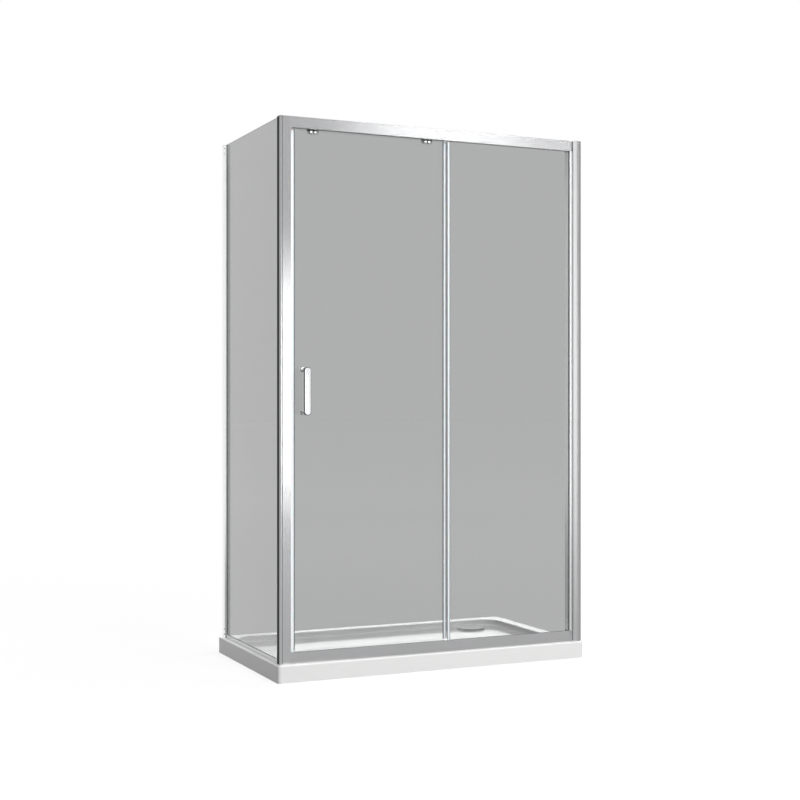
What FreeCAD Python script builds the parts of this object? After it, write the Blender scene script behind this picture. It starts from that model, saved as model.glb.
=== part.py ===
import FreeCAD, Part
import os
import math

# Shower enclosure: a white tray, a glass side panel on the left, and a long front
# with a sliding door at the left and a fixed pane at the right.
# Millimetres. The origin is on the floor under the middle of the tray, +X runs to
# the right along the front, +Y runs back into the corner of the walls, +Z is up.

# Tray
tray_length = 1200.0
tray_depth = 700.0
tray_height = 60.0
tray_shell = 5.0
tray_corner_radius = 12.0
tray_edge_radius = 4.0
tray_floor_height = 38.0
rim_front = 84.0
rim_left = 50.0
rim_back = 50.0
rim_right = 50.0
recess_corner_radius = 70.0
recess_floor_radius = 12.0
recess_lip_radius = 3.0

# Base board and levelling feet under the tray
board_thickness = 12.0
board_inset = 22.0
foot_pad_radius = 22.0
foot_pad_base = 5.0
foot_boss_radius = 9.0
foot_boss_height = 9.0
foot_socket_floor = 3.0
foot_stud_radius = 4.0
foot_stud_in_board = 9.0
foot_nut_across_flats = 13.0
foot_nut_height = 6.5
foot_place_shares = [(-0.85, -0.7), (-0.85, 0.7), (-0.1, -0.7), (-0.1, 0.7),
                     (0.5, -0.7), (0.5, 0.7), (0.88, 0.0)]

# Waste outlet in the tray
waste_from_wall = 184.0
waste_from_back = 123.0
waste_hole_radius = 45.0
waste_board_hole_radius = 66.0
waste_seal_thickness = 1.0
waste_seal_width = 9.0
waste_lip_radius = 56.0
waste_lip_thickness = 2.0
waste_tube_radius = 43.5
waste_tube_wall = 3.0
waste_tube_reach = 18.0
waste_ledge_width = 1.5
waste_ledge_depth = 3.0
waste_gasket_thickness = 2.0
waste_body_rim_thickness = 4.0
waste_neck_wall = 4.0
waste_body_floor = 3.0
waste_tail_radius = 25.0
waste_tail_wall = 3.0
waste_tail_length = 14.0
waste_floor_gap = 3.0
thread_clearance = 0.1

# Lift-out cover and hair strainer
cover_radius = 55.0
cover_thickness = 2.5
cover_crown = 1.5
cover_leg_radius = 2.2
cover_leg_height = 3.5
cover_leg_count = 3
strainer_rim_height = 1.5
strainer_rim_gap = 0.3
strainer_side_gap = 2.5
strainer_wall = 1.5
strainer_depth = 14.0
strainer_hole_radius = 3.0
strainer_hole_ring_radius = 24.0
strainer_hole_count = 8

# Frame as a whole
frame_height = 1875.0
frame_setback_front = 25.0
frame_setback_left = 15.0
frame_depth = 47.0
frame_wall = 2.0
rib_wall = 1.5
header_height = 38.0
rail_height = 38.0
cap_thickness = 1.5
fit_gap = 0.2

# Depths measured back from the front face of the frame
pane_slot_front = 13.0
pane_slot_width = 7.5
door_glass_front = 28.0

# Glass
glass_thickness = 6.0
pane_in_slot = 24.0
low_shelf_height = 10.0
setting_block_height = 2.0
setting_block_length = 60.0
setting_block_share = 0.2

# Corner post
post_width = 40.0
post_side_depth = 31.0
post_chamfer = 4.0
post_nose_width = 5.0
post_groove_width = 5.0
post_cover_depth = 3.0
post_cover_wall = 1.5
post_strip_thickness = 1.0
post_strip_margin = 1.5
post_front_wall = 1.5
post_web_front = 17.0
side_slot_outer_wall = 3.75
side_slot_width = 10.5
side_slot_depth = 12.0
side_glass_in_slot = 11.0

# Frame connectors between the post and the two long rails
connector_length = 30.0
connector_gap = 0.2
frame_screw_radius = 2.5
frame_screw_head_radius = 3.3
frame_screw_head_height = 3.0
frame_screw_length = 20.0
frame_screw_depth = 8.0
frame_screw_spread = 18.0
screw_clearance = 0.05

# Wall profile and jamb at the right
right_profile_width = 30.0
right_nose_bulge = 12.0
right_nose_peak = 17.0
right_nose_end = 7.0
right_nose_wall = 1.6
right_profile_wall = 2.0
right_profile_front_leg = 4.0
right_jamb_show = 10.0
right_jamb_width = 25.0
right_jamb_wall = 1.8
right_jamb_gap = 0.3
right_jamb_slot_depth = 12.0
right_glass_in_jamb = 10.0
end_block_tongue = 20.0

# Wall profile and jamb at the rear of the side panel
rear_profile_width = 25.0
rear_profile_depth = 36.0
rear_jamb_show = 10.0
rear_jamb_depth = 34.0
rear_jamb_wall = 1.5
rear_jamb_gap = 0.3
rear_glass_in_jamb = 10.0
side_channel_wall = 1.5
side_channel_height = 12.0
side_channel_gap = 0.5

# Screws that hold the jambs, and the holes for the wall screws
jamb_screw_radius = 1.6
jamb_screw_head_radius = 2.8
jamb_screw_head_height = 1.5
jamb_screw_length = 6.0
jamb_screw_from_end = 11.0
jamb_screw_pitch = 20.0
rear_screw_from_edge = 7.0
right_screw_from_edge = 8.0
wall_hole_radius = 2.75
wall_hole_from_end = 200.0
wall_hole_count = 3

# Sliding door
door_lead_gap = 9.2
door_trail_from_pane = 3.0
door_top_in_header = 18.0
door_bottom_in_rail = 9.0
door_opening_share = 0.543
door_stop_length = 6.5
door_stop_width = 10.0
door_stop_overlap = 10.0

# Seals along the upright glass edges
magnet_thickness = 3.5
magnet_width = 8.0
magnet_play = 0.3
seal_leg = 2.4
seal_cover = 14.0
seal_end_gap = 1.5
trail_seal_cover = 8.0
trail_seal_web = 2.0
trail_fin_reach = 2.0
pane_seal_leg = 1.5
pane_seal_cover = 8.0
pane_seal_web = 2.0
pane_fin_reach = 1.9

# Tracks and wheels
ledge_height = 8.0
ledge_thickness = 2.0
ledge_front_gap = 0.6
track_rib_width = 2.5
top_track_rib_height = 2.5
low_track_rib_height = 4.5
low_lip_height = 6.0
wheel_width = 5.5
wheel_gap = 1.0
wheel_groove_play = 0.4
top_tread_radius = 8.0
top_flange_radius = 10.0
low_tread_radius = 6.0
low_flange_radius = 8.0
track_gap = 0.3
axle_radius = 2.5
axle_clearance = 0.05
axle_shoulder_radius = 4.0
axle_shoulder_length = 0.8
axle_head_radius = 4.0
axle_head_length = 1.2
axle_head_gap = 0.3
wheel_hub_radius = 5.0
wheel_dish_depth = 1.0

# Hangers that carry the wheels on the door glass
hanger_thickness = 2.0
hanger_margin = 9.0
hanger_corner_radius = 4.0
lead_hanger_inset = 82.0
trail_hanger_inset = 71.0
top_wheel_spread = 26.0
top_bolt_spread = 15.0
top_bolt_below_header = 5.0
low_hanger_width = 24.0
low_bolt_height = 24.0
low_hanger_rise = 6.0
bolt_radius = 3.0
bolt_head_radius = 5.0
bolt_head_height = 3.5
bush_wall = 1.4
bush_flange_radius = 5.5
bush_flange_height = 0.8

# Handle on the door
handle_inset = 45.0
handle_centre_height = 993.0
handle_length = 165.0
handle_width = 24.0
handle_thickness = 10.0
handle_edge_radius = 3.0
handle_reach = 48.0
handle_screw_spread = 149.0
handle_post_radius = 7.0
handle_hole_radius = 5.0
handle_washer_radius = 9.0
handle_washer_thickness = 1.0
handle_screw_radius = 3.0
handle_screw_grip = 15.0
handle_screw_head_radius = 8.0
handle_screw_head_height = 5.0
handle_screw_head_edge = 2.0

# Shapes closer than this to a level lie on it
level_tolerance = 0.001

# Places worked out from the sizes above
tray_left = -tray_length / 2
tray_right = tray_length / 2
tray_front = -tray_depth / 2
tray_back = tray_depth / 2
frame_left = tray_left + frame_setback_left
frame_front = tray_front + frame_setback_front
frame_rear = frame_front + frame_depth
frame_base = tray_height
frame_top = tray_height + frame_height
header_base = frame_top - header_height
rail_top = frame_base + rail_height
profile_top = frame_top - cap_thickness
post_right = frame_left + post_width
right_profile_left = tray_right - right_profile_width
jamb_right_left = right_profile_left - right_jamb_show
rails_right = jamb_right_left
side_glass_left = frame_left + side_slot_outer_wall + (side_slot_width - glass_thickness) / 2
side_glass_right = side_glass_left + glass_thickness
pane_front = frame_front + pane_slot_front + (pane_slot_width - glass_thickness) / 2
pane_back = pane_front + glass_thickness
pane_left = post_right + (rails_right - post_right) * door_opening_share
door_front = frame_front + door_glass_front
door_back = door_front + glass_thickness
door_left = post_right + door_lead_gap
door_right = pane_left - door_trail_from_pane
door_bottom = frame_base + door_bottom_in_rail
door_top = header_base + door_top_in_header
hanger_back = door_back + hanger_thickness
wheel_front = hanger_back + wheel_gap
wheel_back = wheel_front + wheel_width
track_middle = wheel_front + wheel_width / 2
top_track = header_base + ledge_height + ledge_thickness + top_track_rib_height
low_track = frame_base + frame_wall + low_track_rib_height
top_axle_height = top_track + track_gap + top_tread_radius
low_axle_height = low_track + track_gap + low_tread_radius
top_bolt_height = header_base - top_bolt_below_header
low_bolt_level = frame_base + low_bolt_height
lead_hanger_place = door_left + lead_hanger_inset
trail_hanger_place = door_right - trail_hanger_inset
hanger_places = [lead_hanger_place, trail_hanger_place]
waste_x = tray_right - waste_from_wall
waste_y = tray_back - waste_from_back
rear_profile_front = tray_back - rear_profile_depth
rear_jamb_front = rear_profile_front - rear_jamb_show


def vector(x, y, z):
    return FreeCAD.Vector(x, y, z)


def block(x0, x1, y0, y1, z0, z1):
    return Part.makeBox(x1 - x0, y1 - y0, z1 - z0, vector(x0, y0, z0))


def rod(radius, start, end):
    length = (end - start).Length
    return Part.makeCylinder(radius, length, start, end - start)


def rod_up(radius, x, y, z0, z1):
    return rod(radius, vector(x, y, z0), vector(x, y, z1))


def rod_back(radius, x, z, y0, y1):
    return rod(radius, vector(x, y0, z), vector(x, y1, z))


def rod_across(radius, y, z, x0, x1):
    return rod(radius, vector(x0, y, z), vector(x1, y, z))


def upright(outline, z0, z1):
    """Raise an outline of (x, y) points from z0 to z1."""
    points = [vector(x, y, z0) for x, y in outline]
    face = Part.Face(Part.makePolygon(points + points[:1]))
    return face.extrude(vector(0, 0, z1 - z0))


def along(outline, x0, x1):
    """Run an outline of (y, z) points along X from x0 to x1."""
    points = [vector(x0, y, z) for y, z in outline]
    face = Part.Face(Part.makePolygon(points + points[:1]))
    return face.extrude(vector(x1 - x0, 0, 0))


def rounded_block(x0, x1, y0, y1, z0, z1, radius):
    """A block whose four upright edges are rounded."""
    body = block(x0, x1, y0, y1, z0, z1)
    uprights = [edge for edge in body.Edges if upright_edge(edge)]
    return body.makeFillet(radius, uprights)


def upright_edge(edge):
    first = edge.Vertexes[0].Point
    last = edge.Vertexes[-1].Point
    return abs(first.z - last.z) > max(abs(first.x - last.x), abs(first.y - last.y))


def edges_at_level(shape, level):
    return [edge for edge in shape.Edges
            if abs(edge.BoundBox.ZMin - level) < level_tolerance
            and abs(edge.BoundBox.ZMax - level) < level_tolerance]


def ring(outer, inner, x, y, z0, z1):
    return rod_up(outer, x, y, z0, z1).cut(rod_up(inner, x, y, z0, z1))


def group(solids):
    """Separate solids that share one node."""
    return Part.makeCompound(solids)


def save(name, shape):
    shape.exportStep("parts/" + name + ".step")
    print(name, len(shape.Solids), "solids, volume", round(shape.Volume))


def tray():
    outer = rounded_block(tray_left, tray_right, tray_front, tray_back, 0, tray_height,
                          tray_corner_radius)
    outer = outer.makeFillet(tray_edge_radius, edges_at_level(outer, tray_height))
    recess = recess_block(0, tray_floor_height, tray_height)
    recess = recess.makeFillet(recess_floor_radius, edges_at_level(recess, tray_floor_height))
    hollow = block(tray_left + tray_shell, tray_right - tray_shell,
                   tray_front + tray_shell, tray_back - tray_shell,
                   0, tray_height - tray_shell)
    bowl = recess_block(tray_shell, tray_floor_height - tray_shell, tray_height)
    body = outer.cut(hollow.cut(bowl)).cut(recess)
    lip = [edge for edge in edges_at_level(body, tray_height) if inside_rim(edge)]
    body = body.makeFillet(recess_lip_radius, lip)
    drain = rod_up(waste_hole_radius, waste_x, waste_y, 0, tray_height)
    return body.cut(drain)


def recess_block(grow, bottom, top):
    """The tray's recess, or its outside when it is grown by the shell."""
    return rounded_block(tray_left + rim_left - grow, tray_right - rim_right + grow,
                         tray_front + rim_front - grow, tray_back - rim_back + grow,
                         bottom, top, recess_corner_radius + grow)


def inside_rim(edge):
    middle = edge.BoundBox.Center
    inside_x = tray_left + tray_corner_radius < middle.x < tray_right - tray_corner_radius
    inside_y = tray_front + tray_corner_radius < middle.y < tray_back - tray_corner_radius
    return inside_x and inside_y


def foot_places():
    middle_x = (tray_left + rim_left + tray_right - rim_right) / 2
    middle_y = (tray_front + rim_front + tray_back - rim_back) / 2
    half_x = (tray_length - rim_left - rim_right) / 2
    half_y = (tray_depth - rim_front - rim_back) / 2
    return [(middle_x + share_x * half_x, middle_y + share_y * half_y)
            for share_x, share_y in foot_place_shares]


board_top = tray_floor_height - tray_shell
board_bottom = board_top - board_thickness
stud_top = board_bottom + foot_stud_in_board
stud_hole_radius = foot_stud_radius + thread_clearance / 2


def tray_base_board():
    body = block(tray_left + rim_left + board_inset, tray_right - rim_right - board_inset,
                 tray_front + rim_front + board_inset, tray_back - rim_back - board_inset,
                 board_bottom, board_top)
    body = body.cut(rod_up(waste_board_hole_radius, waste_x, waste_y, board_bottom, board_top))
    for x, y in foot_places():
        body = body.cut(rod_up(stud_hole_radius, x, y, board_bottom, stud_top))
    return body


def tray_foot_pads():
    pads = []
    for x, y in foot_places():
        pad = rod_up(foot_pad_radius, x, y, 0, foot_pad_base)
        pad = pad.fuse(rod_up(foot_boss_radius, x, y, 0, foot_boss_height))
        pads.append(pad.cut(rod_up(stud_hole_radius, x, y, foot_socket_floor, foot_boss_height)))
    return group(pads)


def tray_foot_studs():
    return group([rod_up(foot_stud_radius, x, y, foot_socket_floor, stud_top)
                  for x, y in foot_places()])


def tray_foot_nuts():
    corner_radius = foot_nut_across_flats / 2 / math.cos(math.pi / 6)
    nuts = []
    for x, y in foot_places():
        outline = [(x + corner_radius * math.cos(turn * math.pi / 3),
                    y + corner_radius * math.sin(turn * math.pi / 3)) for turn in range(6)]
        nut = upright(outline, board_bottom - foot_nut_height, board_bottom)
        nuts.append(nut.cut(rod_up(stud_hole_radius, x, y, 0, board_bottom)))
    return group(nuts)


# Levels in the waste outlet, from the tray floor down
waste_lip_base = tray_floor_height + waste_seal_thickness
waste_lip_top = waste_lip_base + waste_lip_thickness
waste_ledge_level = waste_lip_top - waste_ledge_depth
waste_tube_base = tray_floor_height - waste_tube_reach
waste_bore = waste_tube_radius - waste_tube_wall
waste_rim_top = board_top - waste_gasket_thickness
waste_neck_bore = waste_tube_radius + thread_clearance
waste_tail_top = waste_floor_gap + waste_tail_length


def waste_top_seal():
    return ring(waste_hole_radius + waste_seal_width, waste_hole_radius,
                waste_x, waste_y, tray_floor_height, waste_lip_base)


def waste_flange():
    body = rod_up(waste_lip_radius, waste_x, waste_y, waste_lip_base, waste_lip_top)
    body = body.fuse(rod_up(waste_tube_radius, waste_x, waste_y, waste_tube_base, waste_lip_top))
    body = body.cut(rod_up(waste_bore, waste_x, waste_y, waste_tube_base, waste_lip_top))
    return body.cut(rod_up(waste_bore + waste_ledge_width, waste_x, waste_y,
                           waste_ledge_level, waste_lip_top))


def waste_gasket():
    return ring(waste_lip_radius, waste_neck_bore + thread_clearance,
                waste_x, waste_y, waste_rim_top, board_top)


def waste_body():
    rim_base = waste_rim_top - waste_body_rim_thickness
    body = rod_up(waste_lip_radius, waste_x, waste_y, rim_base, waste_rim_top)
    neck_radius = waste_neck_bore + waste_neck_wall
    floor_base = waste_tail_top - waste_body_floor
    body = body.fuse(rod_up(neck_radius, waste_x, waste_y, floor_base, waste_rim_top))
    body = body.fuse(rod_up(waste_tail_radius, waste_x, waste_y, waste_floor_gap, waste_tail_top))
    body = body.cut(rod_up(waste_neck_bore, waste_x, waste_y, waste_tail_top, waste_rim_top))
    return body.cut(rod_up(waste_tail_radius - waste_tail_wall, waste_x, waste_y,
                           waste_floor_gap, waste_tail_top))


def hair_strainer():
    rim_radius = waste_bore + waste_ledge_width - strainer_rim_gap
    wall_radius = waste_bore - strainer_side_gap
    rim_top = waste_ledge_level + strainer_rim_height
    base = rim_top - strainer_depth
    body = rod_up(rim_radius, waste_x, waste_y, waste_ledge_level, rim_top)
    body = body.fuse(rod_up(wall_radius, waste_x, waste_y, base, rim_top))
    body = body.cut(rod_up(wall_radius - strainer_wall, waste_x, waste_y,
                           base + strainer_wall, rim_top))
    for number in range(strainer_hole_count):
        turn = 2 * math.pi * number / strainer_hole_count
        x = waste_x + strainer_hole_ring_radius * math.cos(turn)
        y = waste_y + strainer_hole_ring_radius * math.sin(turn)
        body = body.cut(rod_up(strainer_hole_radius, x, y, base, rim_top))
    return body.cut(rod_up(strainer_hole_radius, waste_x, waste_y, base, rim_top))


def waste_cover():
    """A crowned disc on three legs that stand on the strainer's rim."""
    leg_base = waste_ledge_level + strainer_rim_height
    base = leg_base + cover_leg_height
    edge_top = base + cover_thickness
    crown_radius = (cover_radius ** 2 + cover_crown ** 2) / (2 * cover_crown)
    ball = Part.makeSphere(crown_radius, vector(waste_x, waste_y, edge_top + cover_crown - crown_radius))
    disc = rod_up(cover_radius, waste_x, waste_y, base, edge_top + cover_crown)
    body = disc.common(ball)
    ring_radius = waste_bore - strainer_side_gap - strainer_wall + cover_leg_radius
    for number in range(cover_leg_count):
        turn = 2 * math.pi * number / cover_leg_count
        x = waste_x + ring_radius * math.cos(turn)
        y = waste_y + ring_radius * math.sin(turn)
        body = body.fuse(rod_up(cover_leg_radius, x, y, leg_base, base + cover_thickness / 2))
    return body.removeSplitter()


# Edges of the corner post's section, across and back from its outer corner
post_web_back = frame_front + post_web_front + frame_wall
side_slot_left = frame_left + side_slot_outer_wall
side_slot_right = side_slot_left + side_slot_width
side_slot_rear = frame_front + post_side_depth
side_slot_front = side_slot_rear - side_slot_depth
post_main_left = frame_left + post_nose_width + post_groove_width
post_recess = frame_front + post_cover_depth
post_strip_right = frame_left + post_strip_thickness
post_strip_front = frame_front + post_chamfer + post_strip_margin
post_strip_rear = side_slot_rear - post_strip_margin


def corner_post():
    outline = [(frame_left + post_chamfer, frame_front),
               (frame_left + post_nose_width, frame_front),
               (frame_left + post_nose_width, post_recess),
               (post_right, post_recess),
               (post_right, frame_rear),
               (side_slot_right, frame_rear),
               (side_slot_right, side_slot_front),
               (side_slot_left, side_slot_front),
               (side_slot_left, side_slot_rear),
               (frame_left, side_slot_rear),
               (frame_left, frame_front + post_chamfer)]
    body = upright(outline, frame_base, profile_top).cut(corner_post_side_strip())
    front_chamber = block(post_strip_right + frame_wall, post_right - frame_wall,
                          post_recess + post_front_wall, frame_front + post_web_front,
                          frame_base, profile_top)
    rear_chamber = block(side_slot_right + frame_wall, post_right - frame_wall,
                         post_web_back, frame_rear - frame_wall, frame_base, profile_top)
    body = body.cut(front_chamber).cut(rear_chamber)
    for y, z in frame_screw_places():
        body = body.cut(rod_across(frame_screw_radius + screw_clearance, y, z,
                                   post_right - frame_wall, post_right))
    return body


def corner_post_side_strip():
    """A dark strip let into the post's left face."""
    return block(frame_left, post_strip_right, post_strip_front, post_strip_rear,
                 frame_base, profile_top)


def corner_post_cover():
    outer = block(post_main_left, post_right, frame_front, post_recess, frame_base, profile_top)
    hollow = block(post_main_left + post_cover_wall, post_right - post_cover_wall,
                   frame_front + post_cover_wall, post_recess, frame_base, profile_top)
    return outer.cut(hollow)


def corner_post_cap():
    outline = [(frame_left + post_chamfer, frame_front),
               (post_right, frame_front),
               (post_right, frame_rear),
               (side_slot_right, frame_rear),
               (side_slot_right, side_slot_front),
               (side_slot_left, side_slot_front),
               (side_slot_left, side_slot_rear),
               (frame_left, side_slot_rear),
               (frame_left, frame_front + post_chamfer)]
    return upright(outline, profile_top, frame_top)


# Depths of the walls inside the header and the bottom rail
slot_front = frame_front + pane_slot_front
slot_back = slot_front + pane_slot_width
front_rib = slot_front - rib_wall
back_rib = slot_back + rib_wall
ledge_front = hanger_back + ledge_front_gap
rib_front = track_middle - track_rib_width / 2
rib_back = track_middle + track_rib_width / 2


def header_rail():
    roof = frame_top - frame_wall
    ledge_base = header_base + ledge_height
    ledge_top = ledge_base + ledge_thickness
    rear_wall = frame_rear - frame_wall
    walls = [along(rectangle(frame_front, frame_front + frame_wall, header_base, frame_top),
                   post_right, rails_right),
             along(rectangle(frame_front, frame_rear, roof, frame_top), post_right, rails_right),
             along(rectangle(frame_front, slot_front, header_base, header_base + frame_wall),
                   post_right, rails_right),
             along(rectangle(front_rib, slot_front, header_base, frame_top), post_right, rails_right),
             along(rectangle(slot_back, back_rib, header_base, frame_top), post_right, rails_right),
             along(rectangle(rear_wall, frame_rear, ledge_base, frame_top), post_right, rails_right),
             along(rectangle(ledge_front, frame_rear, ledge_base, ledge_top), post_right, rails_right),
             along(rectangle(rib_front, rib_back, ledge_base, top_track), post_right, rails_right)]
    return walls[0].multiFuse(walls[1:]).removeSplitter()


def bottom_rail():
    floor = frame_base + frame_wall
    rear_wall = frame_rear - frame_wall
    shelf_top = frame_base + low_shelf_height
    shelf_base = shelf_top - frame_wall
    walls = [along(rectangle(frame_front, frame_front + frame_wall, frame_base, rail_top),
                   post_right, rails_right),
             along(rectangle(frame_front, frame_rear, frame_base, floor), post_right, rails_right),
             along(rectangle(frame_front, slot_front, rail_top - frame_wall, rail_top),
                   post_right, rails_right),
             along(rectangle(front_rib, slot_front, frame_base, rail_top), post_right, rails_right),
             along(rectangle(slot_back, back_rib, frame_base, rail_top - frame_wall),
                   post_right, rails_right),
             along(rectangle(front_rib, back_rib, shelf_base, shelf_top), post_right, rails_right),
             along(rectangle(rear_wall, frame_rear, frame_base, frame_base + low_lip_height),
                   post_right, rails_right),
             along(rectangle(rib_front, rib_back, frame_base, low_track), post_right, rails_right)]
    return walls[0].multiFuse(walls[1:]).removeSplitter()


def rectangle(y0, y1, z0, z1):
    return [(y0, z0), (y1, z0), (y1, z1), (y0, z1)]


def frame_screw_places():
    depth = frame_front + frame_screw_depth
    middles = [frame_base + rail_height / 2, header_base + header_height / 2]
    return [(depth, middle + side * frame_screw_spread / 2)
            for middle in middles for side in (-1, 1)]


def frame_connectors():
    """Blocks inside the front chamber of the header and of the bottom rail."""
    front = frame_front + frame_wall + connector_gap
    back = front_rib - connector_gap
    blocks = []
    for base, height in ((frame_base, rail_height), (header_base, header_height)):
        body = block(post_right, post_right + connector_length, front, back,
                     base + frame_wall + connector_gap, base + height - frame_wall - connector_gap)
        for y, z in frame_screw_places():
            body = body.cut(rod_across(frame_screw_radius + screw_clearance, y, z,
                                       post_right, post_right + frame_screw_length))
        blocks.append(body)
    return group(blocks)


def frame_screws():
    head_right = post_right - frame_wall
    screws = []
    for y, z in frame_screw_places():
        head = rod_across(frame_screw_head_radius, y, z, head_right - frame_screw_head_height, head_right)
        screws.append(head.fuse(rod_across(frame_screw_radius, y, z, head_right,
                                           post_right + frame_screw_length)))
    return group(screws)


# Edges of the right-hand wall profile and its jamb
right_leg_back = frame_front + right_profile_front_leg
right_plate_left = tray_right - right_profile_wall
right_rear_leg = frame_rear - right_profile_wall
jamb_front = right_leg_back + right_jamb_gap
jamb_back = right_rear_leg - right_jamb_gap
jamb_right_right = jamb_right_left + right_jamb_width
jamb_right_base = rail_top
jamb_right_top = header_base
right_hole_depth = (right_leg_back + right_rear_leg) / 2
right_screw_place = right_profile_left + right_screw_from_edge


def nose_face(inset, level):
    """The bull nose in front of the right wall profile, as a flat face."""
    left = vector(right_profile_left + inset, frame_front + inset / 2, level)
    peak = vector(right_profile_left + right_nose_peak, frame_front - right_nose_bulge + inset, level)
    right = vector(tray_right - inset, frame_front - right_nose_end + inset, level)
    back_right = vector(tray_right - inset, right_leg_back - inset, level)
    back_left = vector(right_profile_left + inset, right_leg_back - inset, level)
    wire = Part.Wire([Part.Arc(left, peak, right).toShape(),
                      Part.makeLine(right, back_right),
                      Part.makeLine(back_right, back_left),
                      Part.makeLine(back_left, left)])
    return Part.Face(wire)


def wall_profile_right():
    height = vector(0, 0, profile_top - frame_base)
    nose = nose_face(0, frame_base).extrude(height)
    nose = nose.cut(nose_face(right_nose_wall, frame_base).extrude(height))
    plate = block(right_plate_left, tray_right, right_leg_back, frame_rear, frame_base, profile_top)
    leg = block(right_profile_left, tray_right, right_rear_leg, frame_rear, frame_base, profile_top)
    body = nose.multiFuse([plate, leg])
    for z in wall_hole_heights():
        body = body.cut(rod_across(wall_hole_radius, right_hole_depth, z, right_plate_left, tray_right))
    for z in jamb_screw_heights(jamb_right_base, jamb_right_top):
        body = body.cut(rod_back(jamb_screw_radius + screw_clearance, right_screw_place, z,
                                 right_rear_leg, frame_rear))
    return body


def wall_profile_right_cap():
    cap = nose_face(0, profile_top).extrude(vector(0, 0, cap_thickness))
    plate = block(right_profile_left, tray_right, right_leg_back, frame_rear, profile_top, frame_top)
    return cap.fuse(plate).removeSplitter()


def wall_hole_heights():
    low = frame_base + wall_hole_from_end
    high = frame_top - wall_hole_from_end
    return [low + (high - low) * number / (wall_hole_count - 1) for number in range(wall_hole_count)]


def jamb_screw_heights(base, top):
    near_low = base + jamb_screw_from_end
    near_high = top - jamb_screw_from_end
    return [near_low, near_low + jamb_screw_pitch, near_high - jamb_screw_pitch, near_high]


def jamb_profile_right():
    slot_right = jamb_right_left + right_jamb_slot_depth
    body = block(jamb_right_left, jamb_right_right, jamb_front, jamb_back, jamb_right_base, jamb_right_top)
    slot = block(jamb_right_left, slot_right, slot_front, slot_back, jamb_right_base, jamb_right_top)
    chamber = block(slot_right + right_jamb_wall, jamb_right_right - right_jamb_wall,
                    jamb_front + right_jamb_wall, jamb_back - right_jamb_wall,
                    jamb_right_base, jamb_right_top)
    side_chamber = block(jamb_right_left + right_jamb_wall, slot_right,
                         slot_back + right_jamb_wall, jamb_back - right_jamb_wall,
                         jamb_right_base, jamb_right_top)
    body = body.cut(slot).cut(chamber).cut(side_chamber)
    for z in jamb_screw_heights(jamb_right_base, jamb_right_top):
        body = body.cut(rod_back(jamb_screw_radius + screw_clearance, right_screw_place, z,
                                 jamb_back - right_jamb_wall, jamb_back))
    return body


def jamb_screws_right():
    screws = []
    for z in jamb_screw_heights(jamb_right_base, jamb_right_top):
        head = rod_back(jamb_screw_head_radius, right_screw_place, z,
                        frame_rear, frame_rear + jamb_screw_head_height)
        shank = rod_back(jamb_screw_radius, right_screw_place, z,
                         frame_rear - jamb_screw_length, frame_rear)
        screws.append(head.fuse(shank))
    return group(screws)


def end_block(base, top, slot_base, slot_top, tongue_base, tongue_top):
    """A plug between the end of a rail and the right-hand wall profile."""
    body = block(rails_right, right_plate_left, jamb_front, jamb_back, base, top)
    tongue = block(rails_right - end_block_tongue, rails_right,
                   frame_front + frame_wall + connector_gap, front_rib - connector_gap,
                   tongue_base, tongue_top)
    tongue_neck = block(rails_right - end_block_tongue, rails_right,
                        jamb_front, front_rib - connector_gap, tongue_base, tongue_top)
    slot = block(rails_right, rails_right + right_jamb_slot_depth, slot_front, slot_back,
                 slot_base, slot_top)
    return body.cut(slot).fuse(tongue.common(tongue_neck))


def header_end_block():
    return end_block(header_base, profile_top, header_base, header_base + pane_in_slot + fit_gap,
                     header_base + frame_wall + connector_gap,
                     frame_top - frame_wall - connector_gap)


def rail_end_block():
    return end_block(frame_base, rail_top, frame_base + low_shelf_height, rail_top,
                     frame_base + frame_wall + connector_gap,
                     rail_top - frame_wall - connector_gap)


# Edges of the rear wall profile and its jamb
rear_profile_right = frame_left + rear_profile_width
rear_plate_front = tray_back - frame_wall
rear_jamb_left = frame_left + frame_wall + rear_jamb_gap
rear_jamb_right = rear_profile_right - frame_wall - rear_jamb_gap
rear_jamb_back = rear_jamb_front + rear_jamb_depth
rear_slot_back = rear_jamb_front + side_slot_depth
rear_hole_place = (frame_left + rear_profile_right) / 2
rear_screw_depth = rear_profile_front + rear_screw_from_edge
side_glass_front = side_slot_rear - side_glass_in_slot
side_glass_rear = rear_jamb_front + rear_glass_in_jamb
side_channel_floor = frame_base + side_channel_wall
side_glass_base = side_channel_floor + setting_block_height


def wall_profile_rear():
    outer = block(frame_left, rear_profile_right, rear_profile_front, tray_back, frame_base, profile_top)
    hollow = block(frame_left + frame_wall, rear_profile_right - frame_wall, rear_profile_front,
                   rear_plate_front, frame_base, profile_top)
    body = outer.cut(hollow)
    for z in wall_hole_heights():
        body = body.cut(rod_back(wall_hole_radius, rear_hole_place, z, rear_plate_front, tray_back))
    for z in jamb_screw_heights(frame_base, profile_top):
        body = body.cut(rod_across(jamb_screw_radius + screw_clearance, rear_screw_depth, z,
                                   frame_left, frame_left + frame_wall))
    return body


def wall_profile_rear_cap():
    return block(frame_left, rear_profile_right, rear_profile_front, tray_back,
                 profile_top, frame_top)


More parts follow.
